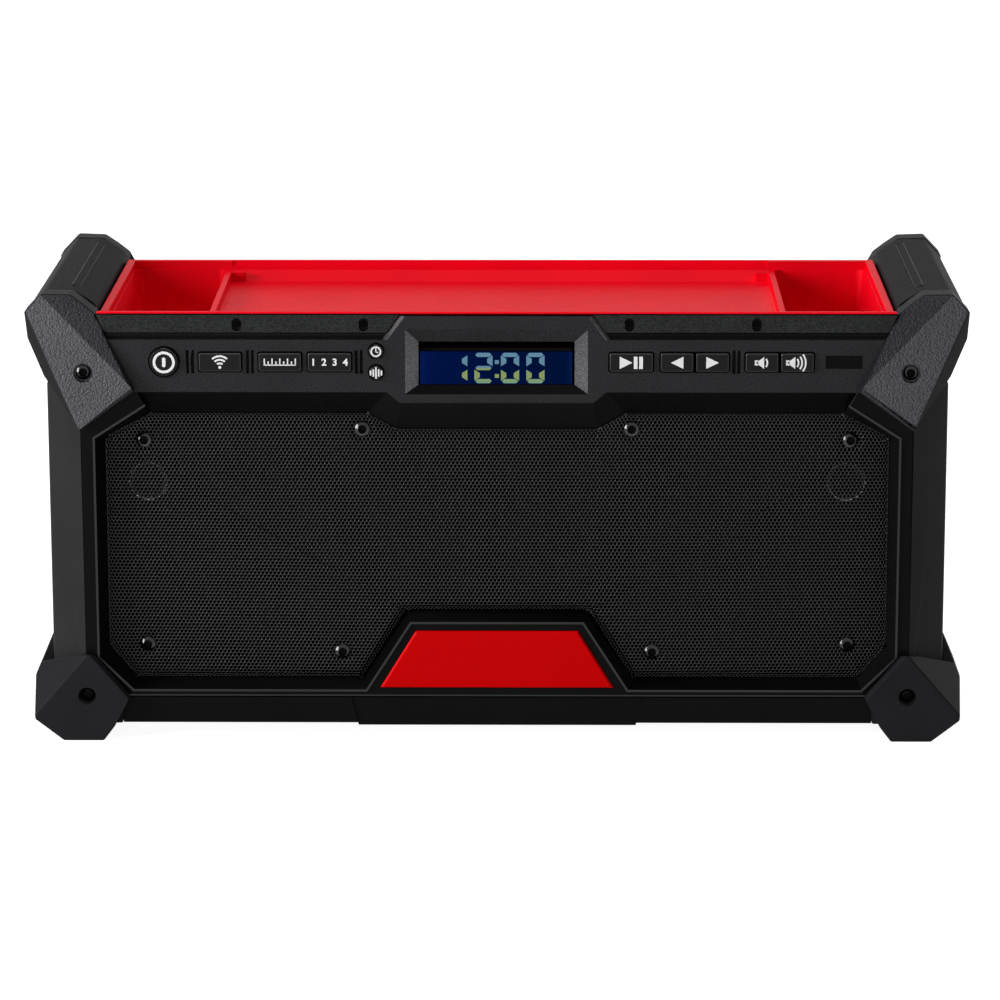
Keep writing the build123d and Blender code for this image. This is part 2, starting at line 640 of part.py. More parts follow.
LOWER_OUTLINE = [
    (-182.6, 40.2),
    (-186.5, 42.0),
    (-203.0, 42.0),
    (-209.7, 26.0),
    (-208.3, 9.9),
    (-195.5, 0.0),
    (-177.5, 0.0),
    (-171.0, 8.6),
    (-165.6, 19.9),
]
LOWER_SIDE = [
    (-GUARD_Y, 0.0),
    (-GUARD_Y, 40.2),
    (-84.5, 38.9),
    (-JOINT_Y, 28.2),
    (-50.0, 39.0),
    (-43.0, 39.0),
    (-36.0, 22.0),
    (-41.0, 0.0),
]

with BuildPart() as lower_guard:
    with BuildSketch(facing(-GUARD_Y)):
        Polygon(*LOWER_OUTLINE, align=None)
    extrude(amount=-THROUGH)
    with BuildSketch(Plane.YZ.offset(-SIDE_X + THROUGH / 2)):
        Polygon(*LOWER_SIDE, align=None)
    extrude(amount=-THROUGH, mode=Mode.INTERSECT)
    slant = facet((-187.5, -GUARD_Y, 36.6), (-206.5, -GUARD_Y, 14.5), (-209.7, -73.0, 25.7))
    if slant.z_dir.Y > 0:
        slant = -slant
    split(bisect_by=slant, keep=Keep.BOTTOM)
    with BuildSketch(Plane.XY.offset(BASE_Z)):
        Polygon(*CASE_PLAN, align=None)
    extrude(amount=SHOULDER_Z, mode=Mode.SUBTRACT)
    with BuildSketch(facing(-GUARD_Y)):
        with Locations((-LOWER_SCREW[0], LOWER_SCREW[1])):
            Circle(LOWER_RECESS[0])
    extrude(amount=-LOWER_RECESS[1], mode=Mode.SUBTRACT)
    with BuildSketch(facing(-GUARD_Y)):
        with Locations((-LOWER_SCREW[0], LOWER_SCREW[1])):
            Circle(SCREW_R + 0.1)
    extrude(amount=-(GUARD_Y - FACE_Y + 3), mode=Mode.SUBTRACT)



def guard_screw(place, seat, head, length):
    """Screw of the front left guard: (x, z), y under its head, head and shank length."""
    with BuildPart() as screw:
        with BuildSketch(facing(seat)):
            with Locations((-place[0], place[1])):
                Circle(head[0])
        extrude(amount=head[1])
        with BuildSketch(facing(seat)):
            with Locations((-place[0], place[1])):
                Circle(SCREW_R - 0.05)
        extrude(amount=-length)
    return screw.part


upper_screw = guard_screw(UPPER_SCREW, UPPER_RECESS[1] - GUARD_Y, UPPER_HEAD, UPPER_LENGTH)
lower_screw = guard_screw(LOWER_SCREW, LOWER_RECESS[1] - GUARD_Y, LOWER_HEAD, LOWER_LENGTH)
with BuildPart() as guard_screws:
    for side_x in (1, -1):
        for side_y in (-1, 1):
            add(reflected(upper_screw, side_x, side_y))
            add(reflected(lower_screw, side_x, side_y))
save(guard_screws.part, "guard_screws")

for depth_name, side_y in (("front", -1), ("rear", 1)):
    for side_name, side_x in (("left", 1), ("right", -1)):
        save(reflected(upper_guard.part, side_x, side_y), f"guard_upper_{depth_name}_{side_name}")
        save(reflected(lower_guard.part, side_x, side_y), f"guard_lower_{depth_name}_{side_name}")

# ---------------------------------------------------------------------------------------
# Side handles: moulded bar on a steel rod, with a grip band let into its shoulder
# ---------------------------------------------------------------------------------------

SHOULDER = [(-NECK_X, 192.4), (-181.2, 197.9), (-186.4, 201.2), (-192.4, HANDLE_TOP)]
HANDLE_OUTER = [
    SHOULDER[-1],
    (-201.5, HANDLE_TOP),
    (-209.2, 194.6),
    (-209.2, 189.5),
    (-205.5, GAP_TOP),
    (-NECK_X, GAP_TOP),
    SHOULDER[0],
]
BAND = [(-187.3, 200.4), (-187.0, 201.7), (-190.6, 203.1), (-191.4, 202.0)]
BAND_END = 56.0

with BuildPart() as handle:
    with BuildSketch(facing(-HANDLE_END)):
        with BuildLine():
            Spline(*SHOULDER, tangents=((0, 1), (-1, 0)))
            Polyline(*HANDLE_OUTER)
        make_face()
    extrude(amount=-2 * HANDLE_END)
    with BuildSketch(facing(-HANDLE_END)):
        with Locations((-ROD_X, ROD_Z)):
            Circle(ROD_R)
    extrude(amount=-2 * HANDLE_END, mode=Mode.SUBTRACT)
    with BuildSketch(facing(-BAND_END)):
        Polygon(*BAND, align=None)
    extrude(amount=-2 * BAND_END, mode=Mode.SUBTRACT)
    # finger side rounded off along the hand gap
    lower_edges = handle.edges().filter_by(Axis.Y).group_by(Axis.Z)[0]
    fillet(lower_edges.sort_by(Axis.X)[0], 3.0)

with BuildPart() as band:
    with BuildSketch(facing(-BAND_END)):
        Polygon(*BAND, align=None)
    extrude(amount=-2 * BAND_END)

with BuildPart() as rod:
    with BuildSketch(facing(-ROD_END)):
        with Locations((-ROD_X, ROD_Z)):
            Circle(ROD_R)
            Circle(ROD_R - 1.5, mode=Mode.SUBTRACT)
    extrude(amount=-2 * ROD_END)

for name, side_x in (("left", 1), ("right", -1)):
    save(reflected(handle.part, side_x), f"handle_{name}")
    save(reflected(band.part, side_x), f"handle_band_{name}")
    save(reflected(rod.part, side_x), f"handle_rod_{name}")

# ---------------------------------------------------------------------------------------
# Keys: cap through the panel, flange behind it
# ---------------------------------------------------------------------------------------

FLANGE_FRONT = FACE_Y - SKIN - 0.1
FLANGE = 1.2

for name, (left, right) in KEYS.items():
    with BuildPart() as key:
        with BuildSketch(facing(-FLANGE_FRONT)):
            with Locations(((left + right) / 2, KEY_Z)):
                RectangleRounded(right - left, KEY_HEIGHT, 0.9)
        extrude(amount=FACE_Y + KEY_PROUD - FLANGE_FRONT)
        chamfer(key.faces().sort_by(Axis.Y)[0].edges(), 0.5)
        with BuildSketch(facing(-FLANGE_FRONT)):
            with Locations(((left + right) / 2, KEY_Z)):
                Rectangle(right - left, KEY_HEIGHT + 3)
        extrude(amount=-FLANGE)
    save(key.part, f"key_{name}")

for name, (x, z, radius) in ROUND_KEYS.items():
    with BuildPart() as key:
        with BuildSketch(facing(-FLANGE_FRONT)):
            with Locations((x, z)):
                Circle(radius)
        extrude(amount=FACE_Y + KEY_PROUD - FLANGE_FRONT)
        chamfer(key.faces().sort_by(Axis.Y)[0].edges(), 0.5)
        with BuildSketch(facing(-FLANGE_FRONT)):
            with Locations((x, z)):
                Circle(radius + 0.9)
        extrude(amount=-FLANGE)
    save(key.part, f"key_{name}")

# ---------------------------------------------------------------------------------------
# Display and control electronics behind the panel
# ---------------------------------------------------------------------------------------

with BuildPart() as lens:
    with BuildSketch(facing(-WINDOW_Y)):
        with Locations((0, LENS[2])):
            Rectangle(LENS[0] - 0.4, LENS[1] - 0.4)
    extrude(amount=-1.4)
save(lens.part, "display_lens")

with BuildPart() as display:
    with BuildSketch(facing(1.4 - WINDOW_Y)):
        with Locations((0, LENS[2])):
            Rectangle(LENS[0] - 1.0, LENS[1] - 1.0)
    extrude(amount=-2.0)
save(display.part, "display_panel")

MEMBRANE_FRONT = FLANGE_FRONT - FLANGE - KEY_TRAVEL - 0.1
with BuildPart() as membrane:
    with BuildSketch(facing(-MEMBRANE_FRONT)):
        with Locations((-102.0, KEY_Z)):
            Rectangle(112.0, 18.0)
        with Locations((96.0, KEY_Z)):
            Rectangle(98.0, 18.0)
    extrude(amount=-(MEMBRANE_FRONT - BOARD_Y))
save(membrane.part, "keypad_membrane")

with BuildPart() as control_board:
    with BuildSketch(facing(-BOARD_Y)):
        with Locations((0, (CHAMBER_BOTTOM + CHAMBER_TOP) / 2)):
            Rectangle(330.0, CHAMBER_TOP - CHAMBER_BOTTOM - 1)
    extrude(amount=-BOARD)
save(control_board.part, "control_board")

# ---------------------------------------------------------------------------------------
# Speakers on their baffle
# ---------------------------------------------------------------------------------------

BAFFLE_HALF = [(181.5, 156.0), (181.5, 40.6), (165.6, 21.0), (165.6, 10.5)]
BAFFLE = 3.0
MAGNET_END = 28.0

with BuildPart() as baffle:
    with BuildSketch(facing(-GRILLE_Y)):
        Polygon(*both_halves(BAFFLE_HALF), align=None)
        for side in (-1, 1):
            with Locations((side * WOOFER_X, WOOFER_Z)):
                Circle(WOOFER_R - 3, mode=Mode.SUBTRACT)
            with Locations((side * TWEETER_X, TWEETER_Z)):
                Circle(TWEETER_R, mode=Mode.SUBTRACT)
    extrude(amount=-BAFFLE)
    for side in (-1, 1):
        for x, z in GRILLE_SCREWS:
            with BuildSketch(facing(2 - GRILLE_Y)):
                with Locations((side * x, z)):
                    Circle(3.5)
            extrude(amount=-sheet_y(x, z) - SHEET - 0.6 - GRILLE_Y + 2)
    with BuildSketch(facing(-FACE_Y)):
        for side in (-1, 1):
            with Locations(*[(side * x, z) for x, z in GRILLE_SCREWS]):
                Circle(1.55)
    extrude(amount=-(FACE_Y - GRILLE_Y + BAFFLE), mode=Mode.SUBTRACT)
save(baffle.part, "speaker_baffle")

BAFFLE_BACK = GRILLE_Y - BAFFLE
BASKET = [
    (WOOFER_R - 4.0, -BAFFLE_BACK),
    (WOOFER_R + 3.0, -BAFFLE_BACK),
    (WOOFER_R + 3.0, 2.0 - BAFFLE_BACK),
    (WOOFER_R - 3.0, 2.0 - BAFFLE_BACK),
    (24.0, -46.0),
    (24.0, -44.0),
    (30.0, -44.0),
    (30.0, -MAGNET_END),
    (0.0, -MAGNET_END),
    (0.0, -46.0),
    (22.0, -46.0),
]
CONE = [
    (WOOFER_R - 5.8, 0.4 - BAFFLE_BACK),
    (WOOFER_R - 6.8, -BAFFLE_BACK - 1.2),
    (WOOFER_R - 9.0, 0.2 - BAFFLE_BACK),
    (12.0, -56.0),
    (8.0, -58.5),
    (0.0, -60.0),
    (0.0, -58.8),
    (8.0, -57.2),
    (12.0, -54.6),
    (WOOFER_R - 9.0, 1.8 - BAFFLE_BACK),
    (WOOFER_R - 5.8, 1.8 - BAFFLE_BACK),
]


def turned(profile, x, z):
    """Solid turned about an axis along Y from (radius, y) points."""
    with BuildPart() as body:
        with BuildSketch(Plane.XY):
            Polygon(*profile, align=None)
        revolve(axis=Axis.Y)
    return body.part.moved(Location((x, 0, z)))


TWEETER = [
    (0.0, -GRILLE_Y + 1.4),
    (3.0, -GRILLE_Y + 1.8),
    (5.4, -GRILLE_Y + 3.4),
    (6.2, -GRILLE_Y + 3.4),
    (6.8, -GRILLE_Y + 1.0),
    (8.6, -GRILLE_Y - 0.4),
    (9.6, -GRILLE_Y),
    (9.6, -BAFFLE_BACK),
    (12.0, -BAFFLE_BACK),
    (12.0, -60.0),
    (0.0, -60.0),
]

for name, side in SIDES.items():
    save(turned(BASKET, side * WOOFER_X, WOOFER_Z), f"woofer_basket_{name}")
    save(turned(CONE, side * WOOFER_X, WOOFER_Z), f"woofer_cone_{name}")
    save(turned(TWEETER, side * TWEETER_X, TWEETER_Z), f"tweeter_{name}")

# ---------------------------------------------------------------------------------------
# Rear cover with the battery bay and the port compartment
# ---------------------------------------------------------------------------------------

PORT_MIDDLE_X = (PORT_LEFT + PORT_RIGHT) / 2
PORT_MIDDLE_Z = (PORT_BOTTOM + PORT_TOP) / 2
PORT_WIDTH = PORT_RIGHT - PORT_LEFT
PORT_HEIGHT = PORT_TOP - PORT_BOTTOM
REAR_OUTLINE = both_halves(cover_half(RIM_Z - 2.3))
USB = (120.5, PORT_MIDDLE_Z, 13.4, 6.2)
AUX = (136.0, PORT_MIDDLE_Z, 4.0)
INLET = (149.0, PORT_MIDDLE_Z, 5.0)


def block(x_range, y_range, z_range, mode=Mode.ADD):
    """Block between two values along each axis."""
    ranges = (x_range, y_range, z_range)
    with Locations(tuple((low + high) / 2 for low, high in ranges)):
        Box(*[high - low for low, high in ranges], mode=mode)


with BuildPart() as rear_cover:
    with BuildSketch(facing(JOINT_Y)):
        Polygon(*REAR_OUTLINE, align=None)
    extrude(amount=-(FACE_Y - JOINT_Y))
    with BuildSketch(facing(JOINT_Y)):
        Polygon(*REAR_OUTLINE, align=None)
        offset(amount=-WALL, kind=Kind.INTERSECTION, mode=Mode.REPLACE)
    extrude(amount=-(FACE_Y - JOINT_Y - WALL), mode=Mode.SUBTRACT)
    # screw bosses
    with BuildSketch(facing(JOINT_Y)):
        for side in (-1, 1):
            with Locations(*[(side * x, z) for x, z in REAR_SCREWS]):
                Circle(5.0)
    extrude(amount=-(FACE_Y - JOINT_Y - WALL))
    with BuildSketch(facing(FACE_Y)):
        for side in (-1, 1):
            with Locations(*[(side * x, z) for x, z in REAR_SCREWS]):
                Circle(4.0)
    extrude(amount=3.0, mode=Mode.SUBTRACT)
    with BuildSketch(facing(FACE_Y)):
        for side in (-1, 1):
            with Locations(*[(side * x, z) for x, z in REAR_SCREWS]):
                Circle(1.6)
    extrude(amount=18.0, mode=Mode.SUBTRACT)
    # battery bay, open at the back, with two slide rails
    block((-BAY_X - WALL, BAY_X + WALL), (BAY_Y - WALL, FACE_Y - 1), (BAY_BOTTOM - WALL, BAY_TOP + WALL))
    block((-BAY_X, BAY_X), (BAY_Y, FACE_Y), (BAY_BOTTOM, BAY_TOP), Mode.SUBTRACT)
    for side in (-1, 1):
        low, high = sorted((side * 31.0, side * 34.0))
        block((low, high), (BAY_Y, BAY_Y + 9.0), (44.0, 118.0))
        low, high = sorted((side * 26.5, side * 34.0))
        block((low, high), (BAY_Y + 6.0, BAY_Y + 9.0), (44.0, 118.0))
    # port compartment, door seat and the hinge's two ears
    block((PORT_LEFT - 1, PORT_RIGHT + 6), (PORT_FLOOR - WALL, FACE_Y - 1), (PORT_BOTTOM - 5, PORT_TOP + 5))
    block((PORT_LEFT + 3, PORT_RIGHT - 3), (PORT_FLOOR, FACE_Y), (PORT_BOTTOM + 3, PORT_TOP - 3),
          Mode.SUBTRACT)
    block((PORT_LEFT, PORT_RIGHT), (FACE_Y - 3.0, FACE_Y), (PORT_BOTTOM, PORT_TOP), Mode.SUBTRACT)
    block((PORT_RIGHT - 1, HINGE_X + HINGE_R + 0.6), (HINGE_Y - HINGE_R - 0.6, FACE_Y),
          (PORT_BOTTOM, PORT_TOP), Mode.SUBTRACT)
    for low, high in ((PORT_BOTTOM, PORT_BOTTOM + 6), (PORT_TOP - 6, PORT_TOP)):
        block((HINGE_X - 2, HINGE_X + HINGE_R + 0.6), (HINGE_Y - HINGE_R - 0.6, HINGE_Y + 2.0), (low, high))
    with BuildSketch(Plane.XY.offset(PORT_BOTTOM - 2)):
        with Locations((HINGE_X, HINGE_Y)):
            Circle(PIN_R)
    extrude(amount=PORT_HEIGHT + 4, mode=Mode.SUBTRACT)
    # holes of the sockets
    with BuildSketch(facing(PORT_FLOOR)):
        with Locations(USB[:2]):
            Rectangle(USB[2] + 0.4, USB[3] + 0.4)
        with Locations(AUX[:2]):
            Circle(AUX[2] + 0.2)
        with Locations(INLET[:2]):
            Circle(INLET[2] + 0.2)
    extrude(amount=WALL, mode=Mode.SUBTRACT)
save(rear_cover.part, "rear_cover")

with BuildPart() as rear_screws:
    for side in (-1, 1):
        for x, z in REAR_SCREWS:
            with BuildSketch(facing(FACE_Y - 3.0)):
                with Locations((side * x, z)):
                    Circle(3.5)
            extrude(amount=-2.2)
            with BuildSketch(facing(FACE_Y - 3.0)):
                with Locations((side * x, z)):
                    Circle(1.5)
            extrude(amount=14.0)
save(rear_screws.part, "rear_screws")

# Port door: a flap with a barrel that turns on a steel pin
DOOR_GAP = 0.4
with BuildPart() as door:
    block((PORT_LEFT + DOOR_GAP, HINGE_X - HINGE_R - 0.6), (FACE_Y - 2.6, FACE_Y),
          (PORT_BOTTOM + DOOR_GAP, PORT_TOP - DOOR_GAP))
    chamfer(door.faces().sort_by(Axis.Y)[-1].edges(), 0.5)
    block((HINGE_X - HINGE_R - 1.0, HINGE_X), (HINGE_Y - 1.0, HINGE_Y + 1.0),
          (PORT_BOTTOM + 6.6, PORT_TOP - 6.6))
    with BuildSketch(Plane.XY.offset(PORT_BOTTOM + 6.6)):
        with Locations((HINGE_X, HINGE_Y)):
            Circle(HINGE_R)
    extrude(amount=PORT_HEIGHT - 13.2)
    with BuildSketch(Plane.XY.offset(PORT_BOTTOM)):
        with Locations((HINGE_X, HINGE_Y)):
            Circle(PIN_R + 0.05)
    extrude(amount=PORT_HEIGHT, mode=Mode.SUBTRACT)
    # finger notch on the free edge
    block((PORT_LEFT, PORT_LEFT + 2.4), (FACE_Y - 1.2, FACE_Y), (PORT_MIDDLE_Z - 6, PORT_MIDDLE_Z + 6),
          Mode.SUBTRACT)
save(door.part, "port_door")

with BuildPart() as door_pin:
    with BuildSketch(Plane.XY.offset(PORT_BOTTOM - 2)):
        with Locations((HINGE_X, HINGE_Y)):
            Circle(PIN_R - 0.02)
    extrude(amount=PORT_HEIGHT + 4)
save(door_pin.part, "port_door_pin")

# Sockets, each flush with the compartment's floor
with BuildPart() as usb_socket:
    with BuildSketch(facing(PORT_FLOOR)):
        with Locations(USB[:2]):
            Rectangle(USB[2], USB[3])
    extrude(amount=14.0)
    with BuildSketch(facing(PORT_FLOOR)):
        with Locations(USB[:2]):
            Rectangle(USB[2] - 1.0, USB[3] - 1.0)
    extrude(amount=12.0, mode=Mode.SUBTRACT)
    block((USB[0] - 5.6, USB[0] + 5.6), (PORT_FLOOR - 12.0, PORT_FLOOR - 1.0), (USB[1], USB[1] + 1.8))
save(usb_socket.part, "usb_socket")

with BuildPart() as aux_jack:
    with BuildSketch(facing(PORT_FLOOR)):
        with Locations(AUX[:2]):
            Circle(AUX[2])
    extrude(amount=14.0)
    with BuildSketch(facing(PORT_FLOOR)):
        with Locations(AUX[:2]):
            Circle(1.8)
    extrude(amount=12.0, mode=Mode.SUBTRACT)
save(aux_jack.part, "aux_jack")

with BuildPart() as power_inlet:
    with BuildSketch(facing(PORT_FLOOR)):
        with Locations(INLET[:2]):
            Circle(INLET[2])
    extrude(amount=12.0)
    with BuildSketch(facing(PORT_FLOOR)):
        with Locations(INLET[:2]):
            Circle(2.8)
            Circle(1.05, mode=Mode.SUBTRACT)
    extrude(amount=9.5, mode=Mode.SUBTRACT)
save(power_inlet.part, "power_inlet")

# Battery contacts at the foot of the rails
with BuildPart() as terminal_block:
    block((-22.0, 22.0), (BAY_Y, BAY_Y + 14.0), (BAY_BOTTOM, BAY_BOTTOM + 14.0))
    chamfer(terminal_block.edges().filter_by(Axis.X).group_by(Axis.Y)[-1].sort_by(Axis.Z)[-1], 3.0)
save(terminal_block.part, "terminal_block")

with BuildPart() as blades:
    for x in (-15.0, 0.0, 15.0):
        block((x - 0.4, x + 0.4), (BAY_Y + 3.0, BAY_Y + 9.0), (BAY_BOTTOM + 14.0, BAY_BOTTOM + 26.0))
save(blades.part, "terminal_blades")

# Main board on the floor of the case
BOARD_TOP = BASE_Z + WALL + STANDOFF + BOARD
with BuildPart() as main_board:
    with BuildSketch(Plane.XY.offset(BOARD_TOP)):
        with Locations(MAIN_BOARD[:2]):
            Rectangle(MAIN_BOARD[2], MAIN_BOARD[3])
    extrude(amount=-BOARD)
    # heat sink of the amplifier
    block((-128.0, -100.0), (-4.0, 18.0), (BOARD_TOP, BOARD_TOP + 10.4))
save(main_board.part, "main_board")
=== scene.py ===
import json
import math

import bmesh
import bpy
import numpy
from mathutils import Matrix, Vector


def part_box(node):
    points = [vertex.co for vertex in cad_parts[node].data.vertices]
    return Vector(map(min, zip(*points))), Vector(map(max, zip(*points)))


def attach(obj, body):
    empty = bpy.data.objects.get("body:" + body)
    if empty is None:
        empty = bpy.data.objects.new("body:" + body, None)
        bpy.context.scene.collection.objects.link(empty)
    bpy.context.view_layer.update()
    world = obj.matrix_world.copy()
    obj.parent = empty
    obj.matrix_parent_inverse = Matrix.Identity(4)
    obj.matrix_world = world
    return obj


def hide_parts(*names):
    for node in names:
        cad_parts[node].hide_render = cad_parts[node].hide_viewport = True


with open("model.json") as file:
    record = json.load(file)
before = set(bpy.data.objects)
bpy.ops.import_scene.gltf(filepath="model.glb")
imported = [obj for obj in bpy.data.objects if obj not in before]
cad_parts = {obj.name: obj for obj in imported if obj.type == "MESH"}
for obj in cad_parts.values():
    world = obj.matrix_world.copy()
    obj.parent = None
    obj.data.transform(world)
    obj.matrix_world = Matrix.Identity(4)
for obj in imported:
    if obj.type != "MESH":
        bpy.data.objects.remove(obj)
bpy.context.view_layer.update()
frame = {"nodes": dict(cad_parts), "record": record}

# ---------------------------------------------------------------------------------------
# Case: the black box between the bezel and the rear cover, moulded in ABS in one shot.
# Its swept sides are spark eroded to a fine matt skin and every outer edge is eased.
# ---------------------------------------------------------------------------------------

MM = 0.001
CLOUD = 28      # mm across the faint clouds in a moulding's pigment
carrier = {
    node: body
    for body, members in frame["record"]["behaviour"]["bodies"].items()
    for node in members
}


def linear(colour):
    """Linear colour of an sRGB hex value."""
    parts = [int(colour[i:i + 2], 16) / 255 for i in (1, 3, 5)]
    return [c / 12.92 if c <= 0.04045 else ((c + 0.055) / 1.055) ** 2.4 for c in parts] + [1.0]


def add_node(tree, kind, inputs=None, **settings):
    """Adds a shader node with its settings, and its inputs as values or links."""
    node = tree.nodes.new("ShaderNode" + kind)
    for name, value in settings.items():
        setattr(node, name, value)
    for name, value in (inputs or {}).items():
        if isinstance(value, bpy.types.NodeSocket):
            tree.links.new(value, node.inputs[name])
        else:
            node.inputs[name].default_value = value
    return node


def blank(name):
    """A new material with an empty shader tree."""
    material = bpy.data.materials.new(name)
    material.use_nodes = True
    material.node_tree.nodes.clear()
    return material, material.node_tree


def moulded(name, colour, roughness, grain, relief, pebbled=False, tone=0.12, level=0.2,
            grain_shade=0.0):
    """A moulded skin: spark eroded, or pebbled like leather, with grains so many mm wide
    and relief mm deep, over faint clouds in the pigment, lighter and darker by the tone.
    The grain's crests are painted lighter and its valleys darker by the grain_shade, as
    painted light and shade, and the level is how strongly the skin reflects. A real
    spark-eroded grain is only 0.1 mm to 0.2 mm wide, so it is
    drawn coarser to show."""
    material, tree = blank(name)
    place = add_node(tree, "TexCoord").outputs["Object"]
    cloud = add_node(tree, "TexNoise", {
        "Vector": place, "Scale": 1 / (CLOUD * MM), "Detail": 3.0})
    value = add_node(tree, "MapRange", {
        "Value": cloud.outputs["Fac"], "From Min": 0.3, "From Max": 0.7,
        "To Min": 1 - tone, "To Max": 1 + tone})
    speck = add_node(tree, "TexNoise", {
        "Vector": place, "Scale": 1 / (grain * MM), "Detail": 2.0})
    if pebbled:
        warp = add_node(tree, "TexNoise", {
            "Vector": place, "Scale": 0.4 / (grain * MM), "Detail": 1.0})
        drift = add_node(tree, "VectorMath", {
            0: warp.outputs["Color"], "Scale": 0.9 * grain * MM}, operation="SCALE")
        bent = add_node(tree, "VectorMath", {0: place, 1: drift.outputs["Vector"]},
                        operation="ADD")
        pebble = add_node(tree, "TexVoronoi", {
            "Vector": bent.outputs["Vector"], "Scale": 1 / (grain * MM), "Smoothness": 0.6},
            feature="SMOOTH_F1")
        domes = add_node(tree, "Math", {0: pebble.outputs["Distance"], 1: -0.8},
                         operation="MULTIPLY")
        height = add_node(tree, "Math", {0: speck.outputs["Fac"], 1: 0.3, 2: domes.outputs[0]},
                          operation="MULTIPLY_ADD").outputs[0]
        valley, crest = -0.4, 0.1
    else:
        height = speck.outputs["Fac"]
        valley, crest = 0.35, 0.65
    rough = add_node(tree, "MapRange", {
        "Value": speck.outputs["Fac"], "From Min": 0.3, "From Max": 0.7,
        "To Min": roughness - 0.06, "To Max": roughness + 0.06})
    bump = add_node(tree, "Bump", {"Height": height, "Distance": relief * MM})
    # Painted light and shade in the grain: the crests lighter, the valleys darker
    spots = add_node(tree, "MapRange", {
        "Value": height, "From Min": valley, "From Max": crest,
        "To Min": 1 - grain_shade, "To Max": 1 + grain_shade})
    shade = add_node(tree, "Math", {0: value.outputs["Result"], 1: spots.outputs["Result"]},
                     operation="MULTIPLY")
    tint = add_node(tree, "HueSaturation", {"Color": linear(colour), "Value": shade.outputs[0]})
    skin = add_node(tree, "BsdfPrincipled", {
        "Base Color": tint.outputs["Color"], "Roughness": rough.outputs["Result"],
        "Normal": bump.outputs["Normal"], "Specular IOR Level": level})
    add_node(tree, "OutputMaterial", {"Surface": skin.outputs["BSDF"]})
    return material


def on_radio(shape, name, material, *stands_for, body=None, angle=32, even=True):
    """Makes the finished bmesh a piece that rides where the CAD nodes do and hides them."""
    mesh = bpy.data.meshes.new(name)
    shape.to_mesh(mesh)
    shape.free()
    for finish in material if isinstance(material, (list, tuple)) else [material]:
        mesh.materials.append(finish)
    mesh.shade_smooth()
    mesh.set_sharp_from_angle(angle=math.radians(angle))
    piece = bpy.data.objects.new(name, mesh)
    bpy.context.scene.collection.objects.link(piece)
    if even:
        piece.modifiers.new("even_normals", "WEIGHTED_NORMAL").keep_sharp = True
    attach(piece, body or carrier[stands_for[0]])
    if stands_for:
        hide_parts(*stands_for)
    return piece


def from_cad(node):
    """The CAD piece's own mesh as a bmesh with clean faces."""
    shape = bmesh.new()
    shape.from_mesh(frame["nodes"][node].data)
    bmesh.ops.remove_doubles(shape, verts=shape.verts, dist=0.005 * MM)
    bmesh.ops.dissolve_limit(shape, angle_limit=math.radians(0.4), verts=shape.verts,
                             edges=shape.edges)
    return shape


def remember(shape):
    """Notes every corner's place before an operator that may throw some of them far off."""
    home = shape.verts.layers.float_vector.new("home")
    for vert in shape.verts:
        vert[home] = vert.co


def hold_near(shape, reach):
    """Pulls the corners that have moved by more than reach mm back to that distance."""
    home = shape.verts.layers.float_vector["home"]
    for vert in shape.verts:
        slide = vert.co - vert[home]
        if slide.length > reach * MM:
            vert.co = vert[home] + slide.normalized() * reach * MM
    shape.verts.layers.float_vector.remove(home)
    shape.normal_update()


def ease(shape, radius, shortest=1.6, angle=22, segments=3, where=None):
    """Rounds the edges that are longer than shortest mm and sharper than the angle, unless
    a face beside them is a strip too thin to take the radius. Corners are kept near their
    old place, as the rounding would run off along edges that are almost parallel."""
    thin = max(2.4 * radius, 1.3) * MM
    corners = [
        edge for edge in shape.edges
        if len(edge.link_faces) == 2 and edge.calc_face_angle() > math.radians(angle)
        and edge.calc_length() > shortest * MM and (where is None or where(edge))
        and all(2 * face.calc_area() > thin * face.calc_perimeter() for face in edge.link_faces)
    ]
    remember(shape)
    rounded = bmesh.ops.bevel(
        shape, geom=corners, offset=radius * MM, offset_type="OFFSET", segments=segments,
        profile=0.5, affect="EDGES", material=-1, clamp_overlap=False)["faces"]
    hold_near(shape, 2.2 * radius)
    return rounded


# Spark-eroded ABS: dark and matt, with hardly a gleam
case_abs = moulded("case_abs", "#202021", 0.5, grain=0.7, relief=0.035, level=0.02)
case = from_cad("case_shell")
ease(case, 1.2)
on_radio(case, "case_moulding", case_abs, "case_shell")

# ---------------------------------------------------------------------------------------
# Main board: a glass-epoxy board under green solder resist, with its shielded tuner on
# top. It stands on four posts inside the case.
# ---------------------------------------------------------------------------------------


def dress(node, material):
    """Gives a CAD piece that keeps its own shape its finish."""
    mesh = frame["nodes"][node].data
    mesh.materials.clear()
    mesh.materials.append(material)


# Solder resist over glass epoxy: smooth, green and half glossy
board_epoxy = moulded("board_epoxy", "#1D4B2D", 0.35, grain=2.0, relief=0.02)
dress("main_board", board_epoxy)

# ---------------------------------------------------------------------------------------
# Speakers: two paper-cone woofers in pressed steel baskets and two dome tweeters, held by
# a plain baffle. Through the grille only the bright rings of the tweeters can be seen.
# ---------------------------------------------------------------------------------------

# Black ABS, painted steel and doped paper, made darker still and dull as painted shade, so
# that the grille stays dark
shaded_baffle_abs = moulded("shaded_baffle_abs", "#050506", 0.6, grain=0.8, relief=0.03, level=0.0)
shaded_basket_paint = moulded("shaded_basket_paint", "#060607", 0.5, grain=1.2, relief=0.01, level=0.0)
cone_paper = moulded("cone_paper", "#08080A", 0.75, grain=0.5, relief=0.06, level=0.0)
dress("speaker_baffle", shaded_baffle_abs)


